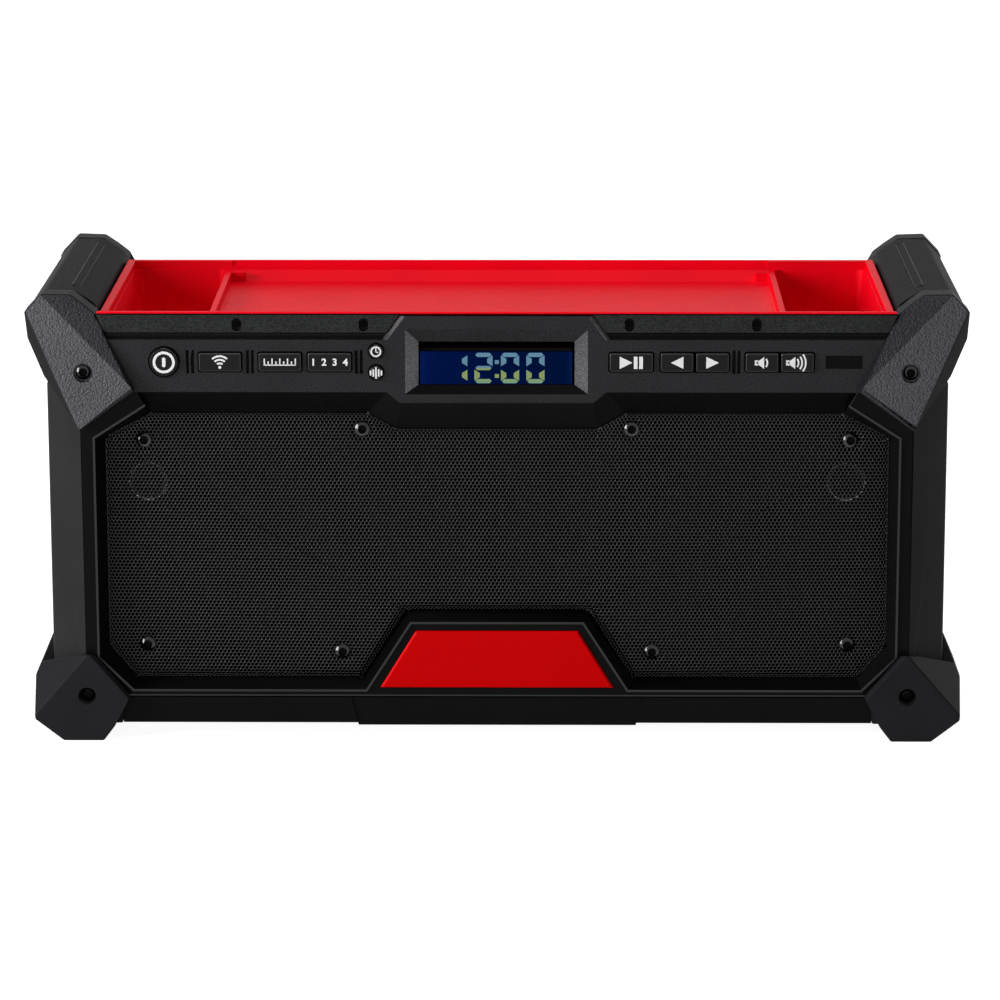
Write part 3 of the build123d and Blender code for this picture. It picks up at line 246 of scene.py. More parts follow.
def plated(name, colour, roughness, streak=0.6):
    """Plated or drawn steel, faintly streaked by its drawing die."""
    material, tree = blank(name)
    place = add_node(tree, "TexCoord").outputs["Object"]
    lines = add_node(tree, "TexNoise", {
        "Vector": place, "Scale": 1 / (streak * MM), "Detail": 3.0})
    rough = add_node(tree, "MapRange", {
        "Value": lines.outputs["Fac"], "To Min": roughness - 0.05, "To Max": roughness + 0.09})
    bump = add_node(tree, "Bump", {"Height": lines.outputs["Fac"], "Distance": 0.01 * MM})
    metal = add_node(tree, "BsdfPrincipled", {
        "Base Color": linear(colour), "Metallic": 1.0, "Roughness": rough.outputs["Result"],
        "Normal": bump.outputs["Normal"]})
    add_node(tree, "OutputMaterial", {"Surface": metal.outputs["BSDF"]})
    return material


# Polished nickel: a thin bright circle behind the holes
tweeter_ring = plated("tweeter_ring", "#77777B", 0.2)
RING = (6.8 * MM, 8.7 * MM)     # inner and outer radius of a tweeter's bright ring
for side in ("left", "right"):
    for node, finish in (("woofer_basket_", shaded_basket_paint), ("woofer_cone_", cone_paper)):
        on_radio(from_cad(node + side), node + side + "_turned", finish, node + side)
    tweeter = from_cad("tweeter_" + side)
    low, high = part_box("tweeter_" + side)
    axis = (low + high) / 2
    for face in tweeter.faces:
        middle = face.calc_center_median()
        reach = math.hypot(middle.x - axis.x, middle.z - axis.z)
        face.material_index = int(RING[0] < reach < RING[1])
    on_radio(tweeter, f"tweeter_{side}_turned", [shaded_basket_paint, tweeter_ring],
             "tweeter_" + side)

# ---------------------------------------------------------------------------------------
# Front bezel: one large ABS moulding, clipped to the case. The control panel is textured,
# the frame and the funnel are smooth, and the bead round the grille is polished. The
# window's side bevels and the display housing's sides are painted pale as painted light;
# the window's lower bevel and the groove are painted near black as painted shade.
# ---------------------------------------------------------------------------------------

# Textured ABS: dark grey with a visible grain
panel_abs = moulded("panel_abs", "#202022", 0.4, grain=0.6, relief=0.25, level=0.08, grain_shade=0.6)
# Smooth ABS: almost black. The same near black is painted as shade on the window's lower
# bevel, in the groove and in the trim strips' screw recesses
frame_and_shade_abs = moulded("frame_and_shade_abs", "#0A0A0B", 0.3, grain=0.8, relief=0.012, level=0.03)
# Textured ABS painted pale: painted light on the window's side bevels and the display
# housing's sides
lit_cheek_abs = moulded("lit_cheek_abs", "#57575A", 0.42, grain=0.6, relief=0.2, level=0.05, grain_shade=0.4)
# Polished ABS: black, with a bright line along the bead
bead_abs = moulded("bead_abs", "#0A0A0B", 0.22, grain=0.8, relief=0.012, level=0.3)
PANEL, FRAME_AND_SHADE, LIT_CHEEK, BEAD = 0, 1, 2, 3
FACE_Y, GROOVE_Y, LIP_Y = -84.0 * MM, -82.0 * MM, -84.3 * MM
FRONT_Y = -79.6 * MM    # in front of it the bezel's outer edges are eased
PANEL_FOOT, BROW_FOOT, BEAD_FOOT, FOOT_Z = 159.6 * MM, 154.5 * MM, 20 * MM, 19.0 * MM
TAG_X, TAG_Z, TAG_Y = 140.0 * MM, (165.0 * MM, 181.0 * MM), (-83.7 * MM, -83.1 * MM)
FLANK_X, FLANK_Z = (43.0 * MM, 50.5 * MM), 185.0 * MM
WINDOW_X, WINDOW_Z, WINDOW_Y = 41.0 * MM, (158.5 * MM, 188.0 * MM), -79.9 * MM


def bezel_zone(face):
    """The finish a face gets: a finish of the bezel's tool, painted light on the window's side
    bevels and the housing's sides, and painted shade on the window's lower bevel and in the groove.
    """
    middle = face.calc_center_median()
    across, height = abs(middle.x), middle.z
    if height < BROW_FOOT or (height < PANEL_FOOT and middle.y > FACE_Y + 0.1 * MM):
        return BEAD if middle.y < LIP_Y and height > BEAD_FOOT else FRAME_AND_SHADE
    if across > TAG_X and TAG_Z[0] < height < TAG_Z[1] and TAG_Y[0] < middle.y < TAG_Y[1]:
        return FRAME_AND_SHADE
    # The display housing's slanted sides: pale, painted light
    if FLANK_X[0] < across < FLANK_X[1] and height > FLANK_Z and abs(face.normal.x) > 0.3:
        return LIT_CHEEK
    if across < WINDOW_X and WINDOW_Z[0] < height < WINDOW_Z[1] and middle.y < WINDOW_Y:
        # The window's side bevels: pale, painted light
        if 0.3 < abs(face.normal.x) < 0.9:
            return LIT_CHEEK
        # The window's upward-facing lower bevel: near black, painted shade
        return FRAME_AND_SHADE if face.normal.z > 0.3 else PANEL
    # At the groove's depth and behind it: near black, painted shade in the groove
    return FRAME_AND_SHADE if middle.y > GROOVE_Y - 0.2 * MM else PANEL


bezel = from_cad("front_bezel")
ease(bezel, 0.35, where=lambda edge: all(vert.co.y < FRONT_Y for vert in edge.verts)
     and edge.calc_face_angle_signed() > 0)
front = [face for face in bezel.faces if face.normal.y < -0.99
         and abs(face.calc_center_median().y - FACE_Y) < 1e-5]
around = dict.fromkeys(part for face in front for part in (*face.verts, *face.edges))
bmesh.ops.bisect_plane(bezel, geom=[*around, *front], plane_co=(0, 0, PANEL_FOOT),
                       plane_no=(0, 0, 1))
foot_edge = [edge for edge in bezel.edges if all(
    abs(vert.co.z - FOOT_Z) < 1e-4 and vert.co.y < FACE_Y + 1e-4 for vert in edge.verts)]
foot_faces = bmesh.ops.bevel(
    bezel, geom=foot_edge, offset=1.2 * MM, offset_type="OFFSET", segments=4, profile=0.5,
    affect="EDGES", material=-1)["faces"]
for face in bezel.faces:
    face.material_index = bezel_zone(face)
for face in foot_faces:
    face.material_index = BEAD
on_radio(bezel, "bezel_moulding", [panel_abs, frame_and_shade_abs, lit_cheek_abs, bead_abs], "front_bezel")

# ---------------------------------------------------------------------------------------
# Display: a liquid crystal panel lit blue from behind, with a dark strip across its top, big
# seven-segment digits, and a clear acrylic lens in front.
# ---------------------------------------------------------------------------------------

FIELD_X, FIELD_Z = (-34.0, 33.6), (162.2, 177.0)
FRAME_Z = (177.3, 178.6)
DIGIT_TOP, DIGIT_FOOT, DIGIT_WIDTH = 176.4, 162.6, 8.1
ACROSS, UPRIGHT = (7.2, 1.9), (4.9, 2.4)    # length and width of a digit's two kinds of bar
SEGMENT_GAP, SEGMENT_BITE = 1.2, 1.5
DIGITS = [(-21.1, "bc"), (-9.9, "abged"), (1.9, "abcdef"), (13.2, "abcdef")]
COLON, COLON_DOT = [(0.1, 172.2), (0.1, 165.9)], (1.8, 1.7)
FILM, SEGMENT = 0.04, 0.07     # thickness of the films and of the segments over them
FILM_SINK = 0.01               # by which the films go into the panel
UNEVEN = 1.5                   # mm across the patches of uneven gloss on a smooth surface


def plain(name, colour, roughness, level=0.5):
    """A smooth surface, only faintly uneven in its gloss."""
    material, tree = blank(name)
    place = add_node(tree, "TexCoord").outputs["Object"]
    speck = add_node(tree, "TexNoise", {
        "Vector": place, "Scale": 1 / (UNEVEN * MM), "Detail": 2.0})
    rough = add_node(tree, "MapRange", {
        "Value": speck.outputs["Fac"], "To Min": roughness - 0.04, "To Max": roughness + 0.04})
    skin = add_node(tree, "BsdfPrincipled", {
        "Base Color": linear(colour), "Roughness": rough.outputs["Result"],
        "Specular IOR Level": level})
    add_node(tree, "OutputMaterial", {"Surface": skin.outputs["BSDF"]})
    return material


def lit(name, axis, stops, level=0.0):
    """Backlit liquid crystal: its colour changes along an axis at (mm, colour) stops."""
    material, tree = blank(name)
    place = add_node(tree, "TexCoord").outputs["Object"]
    axes = add_node(tree, "SeparateXYZ", {"Vector": place})
    first, last = stops[0][0], stops[-1][0]
    share = add_node(tree, "MapRange", {
        "Value": axes.outputs[axis], "From Min": first * MM, "From Max": last * MM})
    ramp = add_node(tree, "ValToRGB", {"Fac": share.outputs["Result"]})
    spots = ramp.color_ramp.elements
    spots[0].color, spots[1].color = linear(stops[0][1]), linear(stops[-1][1])
    for reach, colour in stops[1:-1]:
        spots.new((reach - first) / (last - first)).color = linear(colour)
    glow = add_node(tree, "BsdfPrincipled", {
        "Base Color": linear("#000000"), "Roughness": 0.3, "Specular IOR Level": level,
        "Emission Color": ramp.outputs["Color"], "Emission Strength": 1.0})
    add_node(tree, "OutputMaterial", {"Surface": glow.outputs["BSDF"]})
    return material


def bar(shape, centre, size, turn=0.0, points=0.0, bite=0.0):
    """A flat bar in mm, turned by degrees, its ends cut to points that many mm long, or its
    lower side made shorter by bite at each end."""
    verts = bmesh.ops.create_grid(shape, x_segments=1, y_segments=1, size=0.5)["verts"]
    bmesh.ops.scale(shape, vec=(*size, 1), verts=verts)
    for vert in verts:
        if vert.co.y < 0:
            vert.co.x -= math.copysign(bite, vert.co.x)
    if points:
        verts = bmesh.ops.bevel(shape, geom=verts, offset=points, offset_type="OFFSET", segments=1,
                                profile=0.5, affect="VERTICES", material=-1)["verts"]
    bmesh.ops.rotate(shape, matrix=Matrix.Rotation(math.radians(turn), 3, "Z"), verts=verts)
    bmesh.ops.translate(shape, vec=(*centre, 0), verts=verts)


def stand(shape, y, thickness, x=0.0, z=0.0):
    """Stands a flat drawing, made in mm, upright at (x, y, z) mm and gives it a thickness."""
    bmesh.ops.recalc_face_normals(shape, faces=shape.faces)
    bmesh.ops.remove_doubles(shape, verts=shape.verts, dist=0.001)
    for face in shape.faces:
        if face.normal.z < 0:
            face.normal_flip()
    bmesh.ops.solidify(shape, geom=shape.faces[:], thickness=-thickness)
    turn = Matrix.Rotation(math.radians(90), 4, "X")
    bmesh.ops.transform(shape, matrix=Matrix.Scale(MM, 4) @ Matrix.Translation((x, y, z)) @ turn,
                        verts=shape.verts)


screen_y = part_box("display_panel")[0].y / MM
# Black mask printed on the glass: it gives back no light
dress("display_panel", plain("display_mask", "#030304", 0.3, level=0.0))
# Backlit liquid crystal: deep blue, a little brighter at both ends where its lamps sit
field_blue = lit("field_blue", "X", [
    (-34.0, "#041A50"), (-30.5, "#021344"), (0.0, "#001138"), (31.0, "#001136"),
    (33.6, "#031A48")])
# A dull, very dark brownish strip across the top of the blue field
top_strip_black = plain("display_top_strip", "#120F10", 0.6, level=0.0)
for name, (foot, top), finish in (("display_field", FIELD_Z, field_blue),
                                  ("display_top_strip", FRAME_Z, top_strip_black)):
    film = bmesh.new()
    bar(film, (sum(FIELD_X) / 2, (foot + top) / 2), (FIELD_X[1] - FIELD_X[0], top - foot))
    stand(film, screen_y + FILM_SINK, FILM)
    on_radio(film, name, finish, body="radio")

digits = bmesh.new()
middle_z = (DIGIT_TOP + DIGIT_FOOT) / 2
rise = (DIGIT_TOP - middle_z - UPRIGHT[0] - SEGMENT_GAP) + UPRIGHT[0] / 2
for left, letters in DIGITS:
    middle, right = left + DIGIT_WIDTH / 2, left + DIGIT_WIDTH - UPRIGHT[1] / 2
    near = left + UPRIGHT[1] / 2
    spots = {
        "a": (middle, DIGIT_TOP - ACROSS[1] / 2, 0), "g": (middle, middle_z, 0),
        "d": (middle, DIGIT_FOOT + ACROSS[1] / 2, 0),
        "b": (right, middle_z + rise, -90), "c": (right, middle_z - rise, -90),
        "f": (near, middle_z + rise, 90), "e": (near, middle_z - rise, 90)}
    for letter in letters:
        x, z, turn = spots[letter]
        if turn:
            bar(digits, (x, z), UPRIGHT, turn, bite=SEGMENT_BITE)
        else:
            bar(digits, (x, z), ACROSS, points=ACROSS[1] / 2 - 0.05)
for spot in COLON:
    bar(digits, spot, COLON_DOT)
stand(digits, screen_y, SEGMENT)
# Clear segments: the backlight shows through them, warm in the lower half, cool above
digit_glow = lit("digit_glow", "Z", [
    (162.6, "#72977F"), (165.2, "#84955F"), (169.2, "#84955E"), (169.6, "#5F8497"),
    (176.4, "#6087A1")])
on_radio(digits, "display_digits", digit_glow, body="radio")

# Clear polished acrylic: seen through, with a faint sheen at a glancing angle
lens_acrylic, tree = blank("lens_acrylic")
angle = add_node(tree, "LayerWeight", {"Blend": 0.12})
share = add_node(tree, "Math", {0: angle.outputs["Fresnel"], 1: 0.02}, operation="MULTIPLY")
clear = add_node(tree, "BsdfTransparent")
sheen = add_node(tree, "BsdfAnisotropic", {"Roughness": 0.05})
mix = add_node(tree, "MixShader", {0: share.outputs[0], 1: clear.outputs[0], 2: sheen.outputs[0]})
add_node(tree, "OutputMaterial", {"Surface": mix.outputs[0]})
dress("display_lens", lens_acrylic)

# ---------------------------------------------------------------------------------------
# Control board screwed behind the panel, and the moulded silicone membrane between it and
# the keys, which springs them back.
# ---------------------------------------------------------------------------------------

dress("control_board", board_epoxy)
# Silicone rubber painted near black and dull: painted shade in the gaps round the keys
dress("keypad_membrane", plain("membrane_silicone_shade", "#060607", 0.6, level=0.0))

# ---------------------------------------------------------------------------------------
# Keys: hard caps on springs, each with a white symbol printed on its face. The printed
# symbols stand for power, wireless, tuning, four presets, clock, tone and transport.
# ---------------------------------------------------------------------------------------

# Hard ABS: smooth and half glossy, with polished rims that catch the light
key_abs = moulded("key_abs", "#0D0D0E", 0.35, grain=0.8, relief=0.04, level=0.09)
key_edge = moulded("key_edge", "#0E0E0F", 0.25, grain=0.8, relief=0.02, level=0.45)
INK, INK_SINK = 0.03, 0.02      # mm by which the print stands off the cap and goes into it
KEY_GAP = 0.3 * MM      # by which each cap's sides are drawn in, so that its gap shows
KEY_CORE = 1.5 * MM     # corners nearer to the cap's middle than this stay in place
KEY_RIM = (0.4, 0.95)   # slope of the faces that belong to a cap's rim


def triangle(shape, centre, width, height, turn=-90.0):
    """A flat triangle in mm that points to the right, or as turned by degrees."""
    verts = bmesh.ops.create_circle(shape, cap_ends=True, radius=1.0, segments=3)["verts"]
    bmesh.ops.scale(shape, vec=(height / math.sqrt(3), width / 1.5, 1), verts=verts)
    bmesh.ops.translate(shape, vec=(0, -width / 6, 0), verts=verts)
    bmesh.ops.rotate(shape, matrix=Matrix.Rotation(math.radians(turn), 3, "Z"), verts=verts)
    bmesh.ops.translate(shape, vec=(*centre, 0), verts=verts)


def arc(shape, centre, radius, width, towards=0.0, half=180.0):
    """A flat ring in mm, or the part of it within half degrees of a direction."""
    start = math.radians(towards - half)
    ends = [shape.verts.new((centre[0] + reach * math.cos(start),
                             centre[1] + reach * math.sin(start), 0))
            for reach in (radius - width, radius)]
    bmesh.ops.spin(shape, geom=[*ends, shape.edges.new(ends)], axis=(0, 0, 1), cent=(*centre, 0),
                   angle=math.radians(2 * half), steps=round(half / 4) + 4, use_merge=half == 180)


def numbers(shape, text, size):
    """Bold plain numerals in mm, centred."""
    curve = bpy.data.curves.new("numerals", "FONT")
    curve.body, curve.size, curve.offset, curve.resolution_u = text, size, 0.03 * size, 3
    curve.align_x, curve.align_y, curve.space_character = "CENTER", "CENTER", 1.3
    holder = bpy.data.objects.new("numerals", curve)
    drawn = bpy.data.meshes.new_from_object(holder)
    shape.from_mesh(drawn)
    bpy.data.objects.remove(holder)


def power(shape):
    arc(shape, (0, 0), 4.9, 1.15)
    bar(shape, (0, 0), (1.5, 4.4), points=0.5)


def wireless(shape):
    arc(shape, (0, -2.2), 0.65, 0.64)
    for radius in (2.2, 3.8, 5.4):
        arc(shape, (0, -2.2), radius, 0.8, towards=90, half=42)


def band(shape):
    bar(shape, (0, -1.2), (14.4, 0.5))
    for index in range(-4, 5):
        tall = index % 2 == 0
        bar(shape, (index * 1.72, -1.2 + (1.5 if tall else 0.85)), (0.55, 3.0 if tall else 1.7))


def preset(shape):
    numbers(shape, "1 2 3 4", 4.4)


def clock(shape):
    arc(shape, (0, 0), 2.4, 0.7)
    bar(shape, (0, 0.7), (0.55, 1.6))
    bar(shape, (0.5, -0.2), (1.2, 0.55), turn=-25)


def equalizer(shape):
    for index, tall in enumerate((2.2, 3.3, 5.2, 3.3, 2.2)):
        bar(shape, ((index - 2) * 1.2, 0), (0.72, tall))


def play_pause(shape):
    triangle(shape, (-2.35, 0), 5.6, 5.6)
    bar(shape, (1.9, 0), (1.65, 5.6))
    bar(shape, (4.3, 0), (1.65, 5.6))


def previous(shape):
    triangle(shape, (0, 0), 5.6, 5.4, turn=90)


def next_track(shape):
    triangle(shape, (0, 0), 5.6, 5.4)


def speaker(shape, x):
    bar(shape, (x - 1.55, 0), (1.5, 2.3))
    triangle(shape, (x, 0), 3.6, 5.4, turn=90)


def volume_down(shape):
    speaker(shape, -0.9)
    arc(shape, (-0.6, 0), 3.3, 0.75, half=38)


def volume_up(shape):
    speaker(shape, -2.8)
    for radius in (3.3, 4.9, 6.5):
        arc(shape, (-2.5, 0), radius, 0.75, half=38)


SYMBOLS = {
    "power": power, "wireless": wireless, "band": band, "preset": preset, "clock": clock,
    "equalizer": equalizer, "play_pause": play_pause, "previous": previous, "next": next_track,
    "volume_down": volume_down, "volume_up": volume_up}
# Pad-printed ink: flat white
white_ink = plain("white_ink", "#DEDEDE", 0.6, level=0.2)
for key, draw in SYMBOLS.items():
    cap = from_cad("key_" + key)
    low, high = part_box("key_" + key)
    middle = (low + high) / 2
    for vert in cap.verts:
        for axis in (0, 2):
            side = vert.co[axis] - middle[axis]
            if abs(side) > KEY_CORE:
                vert.co[axis] -= math.copysign(KEY_GAP, side)
    for face in cap.faces:
        face.material_index = int(KEY_RIM[0] < -face.normal.y < KEY_RIM[1])
    on_radio(cap, "key_" + key + "_cap", [key_abs, key_edge], "key_" + key)
    symbol = bmesh.new()
    draw(symbol)
    stand(symbol, low.y / MM + INK_SINK, INK + INK_SINK, x=middle.x / MM, z=middle.z / MM)
    on_radio(symbol, "key_" + key + "_symbol", white_ink, body=carrier["key_" + key])

# ---------------------------------------------------------------------------------------
# Grille: steel sheet punched with round holes in staggered rows, folded along two lines
# and powder coated. Its plain border is turned back, and eight domed screws hold it.
# ---------------------------------------------------------------------------------------

PITCH, HOLE, SHEET = 1.77 * MM, 1.45 * MM, 0.8 * MM
ROW = PITCH * math.sqrt(3) / 2
ROLL, ROLL_END = 5.0, -74.2     # width of the rolled edge and y of its end, in mm
SPARE = (math.pi / 2 - 1) * ROLL    # flat width that the roll takes up
ROLL_ROOM = 4 * MM              # by which the punched field passes the sheet's outline
DIMPLE = (3.7, 6.2, 0.5)        # flat radius, outer radius and depth round a screw
FOLD_IN, FOLD_OUT = (40.8, 57.4), (175.5, 137.0)
MIDDLE_PLANE = [(100.0, -75.0, 148.1), (-100.0, -75.0, 148.1), (41.0, -78.8, 57.4)]
SIDE_PLANE = [(172.0, -75.5, 137.0), (163.0, -75.0, 26.0), (41.0, -78.8, 57.4)]
GRILLE_HALF = [(44.7, 140.8), (57.7, 148.1), (155.1, 148.1), FOLD_OUT, (175.5, 40.8), (163.0, 26.0),
               (60.9, 26.0), FOLD_IN]
GRILLE_OUTLINE = GRILLE_HALF + [(-x, z) for x, z in reversed(GRILLE_HALF)]
GRILLE_SCREWS = [(side * x, z)
                 for x, z in ((158.0, 136.0), (60.2, 141.0), (158.0, 41.4), (69.8, 38.7))
                 for side in (-1, 1)]
# Outline of each facet of the sheet; True where the next side is the grille's own edge
CENTRE_AREA = [(-44.7, 140.8, False), (-44.7, 59.8, False), (-40.8, 57.4, True),
               (40.8, 57.4, False), (44.7, 59.8, False), (44.7, 140.8, True)]
UPPER_AREA = [(44.7, 59.8, False), (*FOLD_OUT, True), (155.1, 148.1, True),
              (57.7, 148.1, True), (44.7, 140.8, False)]
SIDE_AREA = [(*FOLD_IN, True), (60.9, 26.0, True), (163.0, 26.0, True),
             (175.5, 40.8, True), (*FOLD_OUT, False)]


def everything(shape):
    """All vertices, edges and faces of a bmesh."""
    return shape.verts[:] + shape.edges[:] + shape.faces[:]


def of_kind(items, kind):
    """Those of an operator's results that are of one kind."""
    return [item for item in items if isinstance(item, kind)]


def copied(shape, offset):
    """Adds a copy of everything in the bmesh, moved by the offset."""
    twin = bmesh.ops.duplicate(shape, geom=everything(shape))["geom"]
    bmesh.ops.translate(shape, vec=offset, verts=of_kind(twin, bmesh.types.BMVert))


def punched(area):
    """Flat punched sheet in the XZ plane, cut to a convex area and a little past its own edge."""
    shape = bmesh.new()
    bmesh.ops.create_circle(shape, radius=PITCH / math.sqrt(3), segments=6)
    bmesh.ops.create_circle(shape, radius=HOLE / 2, segments=10)
    bmesh.ops.bridge_loops(shape, edges=shape.edges)
    bmesh.ops.rotate(shape, matrix=Matrix.Rotation(math.radians(90), 3, "X"), verts=shape.verts)
    lowest = [min(point[axis] for point in area) * MM - ROLL_ROOM for axis in (0, 1)]
    highest = [max(point[axis] for point in area) * MM + ROLL_ROOM for axis in (0, 1)]
    first = [math.floor(lowest[0] / PITCH) * PITCH, math.floor(lowest[1] / (2 * ROW)) * 2 * ROW]
    bmesh.ops.translate(shape, vec=(first[0], 0, first[1]), verts=shape.verts)
    copied(shape, (PITCH / 2, 0, ROW))
    for axis, step in ((2, 2 * ROW), (0, PITCH)):
        while step < highest[axis // 2] - first[axis // 2] + PITCH:
            copied(shape, [step if i == axis else 0 for i in range(3)])
            step *= 2
    bmesh.ops.remove_doubles(shape, verts=shape.verts, dist=0.01 * MM)
    for (x, z, edge), (next_x, next_z, _) in zip(area, area[1:] + area[:1]):
        outwards = Vector((next_z - z, 0, x - next_x)).normalized()
        place = Vector((x, 0, z)) + outwards * (SPARE if edge else 0)
        bmesh.ops.bisect_plane(shape, geom=everything(shape), plane_co=place * MM,
                               plane_no=outwards, clear_outer=True)
    bmesh.ops.recalc_face_normals(shape, faces=shape.faces)
    if sum(face.normal.y for face in shape.faces) > 0:
        bmesh.ops.reverse_faces(shape, faces=shape.faces)
    return shape


def pressed(shape, plane):
    """Lays the flat sheet on a plane of three points, in mm, rolls its edge back, dimples it
    round the screws and gives it its thickness."""
    flat = numpy.array([vert.co[:] for vert in shape.verts])[:, ::2] / MM
    inside = numpy.full(len(flat), numpy.inf)
    inwards = numpy.zeros_like(flat)
    for start, end in zip(GRILLE_OUTLINE, GRILLE_OUTLINE[1:] + GRILLE_OUTLINE[:1]):
        start, side = numpy.array(start), numpy.subtract(end, start)
        normal = numpy.array((side[1], -side[0])) / numpy.hypot(*side)
        share = numpy.clip((flat - start) @ side / (side @ side), 0, 1)
        gap = flat - start - share[:, None] * side + 1e-6 * normal
        distance = numpy.hypot(*gap.T) * numpy.where(gap @ normal < 0, -1, 1)
        nearer = abs(distance) < abs(inside)
        inside[nearer] = distance[nearer]
        inwards[nearer] = (gap / distance[:, None])[nearer]
    turn = numpy.clip((inside + SPARE) / ROLL, 0, math.pi / 2)
    rolled = numpy.where(turn < math.pi / 2, ROLL * (1 - numpy.cos(turn)) - inside, 0)
    flat += inwards * rolled[:, None]
    a, b, c = (numpy.array(point) for point in plane)
    normal = numpy.cross(b - a, c - a)
    y = (normal @ a - flat @ normal[::2]) / normal[1]
    y += (1 - numpy.sin(turn)) * (ROLL_END - y)
    for place in GRILLE_SCREWS:
        reach = numpy.hypot(*(flat - place).T)
        share = numpy.clip((DIMPLE[1] - reach) / (DIMPLE[1] - DIMPLE[0]), 0, 1)
        y += DIMPLE[2] * share * share * (3 - 2 * share)
    for vert, (x, z), depth in zip(shape.verts, flat, y):
        vert.co = (x * MM, depth * MM, z * MM)
    shape.normal_update()
    remember(shape)
    bmesh.ops.solidify(shape, geom=shape.faces[:], thickness=SHEET)
    hold_near(shape, 1.3 * SHEET / MM)
    return shape


def mirrored(area):
    """The same facet on the other side of the radio, still listed the same way round."""
    return [(-x, z, area[index - 1][2])
            for index, (x, z, _) in reversed(list(enumerate(area)))]


# Powder coat on steel: glossy black, with a small glint on the rim of every hole
powder_coat = moulded("powder_coat", "#030304", 0.17, grain=0.5, relief=0.01, level=0.26)
for name, area, plane in (
        ("centre", CENTRE_AREA, MIDDLE_PLANE),
        ("upper_right", UPPER_AREA, MIDDLE_PLANE),
        ("upper_left", mirrored(UPPER_AREA), MIDDLE_PLANE),
        ("side_right", SIDE_AREA, SIDE_PLANE),
        ("side_left", mirrored(SIDE_AREA), [(-x, y, z) for x, y, z in SIDE_PLANE])):
    on_radio(pressed(punched(area), plane), "grille_mesh_" + name, powder_coat, "grille",
             angle=180, even=False)


def screw_head(shape, place, profile, lobes, facing=-1):
    """Lathes one screw into the bmesh. The profile lists (radius, height, is it lobed), in mm
    along the screw from its shank to the foot of its six-lobed recess."""
    ring = bmesh.ops.create_circle(shape, radius=profile[0][0] * MM, segments=24)["verts"]
    verts = list(ring)
    edges = [edge for edge in shape.edges if set(edge.verts) <= set(ring)]
    for index, (radius, height, lobed) in enumerate(profile):
        if index:
            made = bmesh.ops.extrude_edge_only(shape, edges=edges)["geom"]
            ring = of_kind(made, bmesh.types.BMVert)
            edges = [edge for edge in of_kind(made, bmesh.types.BMEdge)
                     if set(edge.verts) <= set(ring)]
            verts += ring
        for vert in ring:
            angle = math.atan2(vert.co.y, vert.co.x)
            reach = radius * MM * (1 + (lobes * math.cos(6 * angle) if lobed else 0))
            vert.co = (reach * math.cos(angle), reach * math.sin(angle), height * MM)
    bmesh.ops.contextual_create(shape, geom=edges)
    turn = Matrix.Rotation(math.radians(90 if facing < 0 else -90), 4, "X")
    bmesh.ops.transform(shape, matrix=Matrix.Translation(Vector(place) * MM) @ turn, verts=verts)


RIM_SLOPE = (0.3, 0.93)     # slope of the faces that belong to a head's polished rim


def screws(name, node, material, places, profile, lobes=0.13):
    """A set of equal screws as one piece."""
    shape = bmesh.new()
    for place in places:
        screw_head(shape, place, profile, lobes, facing=1 if place[1] > 0 else -1)
    bmesh.ops.recalc_face_normals(shape, faces=shape.faces)
    for face in shape.faces:
        face.material_index = int(RIM_SLOPE[0] < abs(face.normal.y) < RIM_SLOPE[1])
    on_radio(shape, name, material, node, angle=35)


GRILLE_SCREW = [(1.3, -2.0, 0), (1.3, 0, 0), (3.5, 0, 0), (3.45, 0.5, 0), (3.2, 0.85, 0),
                (2.0, 1.58, 0), (1.75, 1.62, 1), (1.6, 0.4, 1)]
# Oiled black oxide on steel: black, with a glint on the turned rim of the head
black_oxide = [plain("black_oxide", "#060607", 0.3, level=0.02),
               plain("oiled_rim", "#040405", 0.14, level=0.45)]
places = []
for x, z in GRILLE_SCREWS:
    a, b, c = (Vector(point) for point in (MIDDLE_PLANE if z > 100 else SIDE_PLANE))
    normal = (b - a).cross(c - a)
    seat = (normal.dot(a) - normal.x * abs(x) - normal.z * z) / normal.y
    places.append((x, seat + DIMPLE[2], z))
screws("grille_screw_heads", "grille_screws", black_oxide, places, GRILLE_SCREW)

# ---------------------------------------------------------------------------------------
# Badge: a red ABS plate glued into its seat under the grille. Its face is smooth and is
# left bare.
# ---------------------------------------------------------------------------------------

# Smooth red ABS: even in colour, with very little reflection
badge_red = moulded("badge_red", "#BE0003", 0.25, grain=1.5, relief=0.004, tone=0.02, level=0.03)
badge = from_cad("badge_plate")
ease(badge, 0.3)
on_radio(badge, "badge_moulding", badge_red, "badge_plate")

# ---------------------------------------------------------------------------------------
# Trim strips: two textured ABS strips under the tray's lip, one on each side of the
# display. Each is held by two screws in oblong recesses.
# ---------------------------------------------------------------------------------------

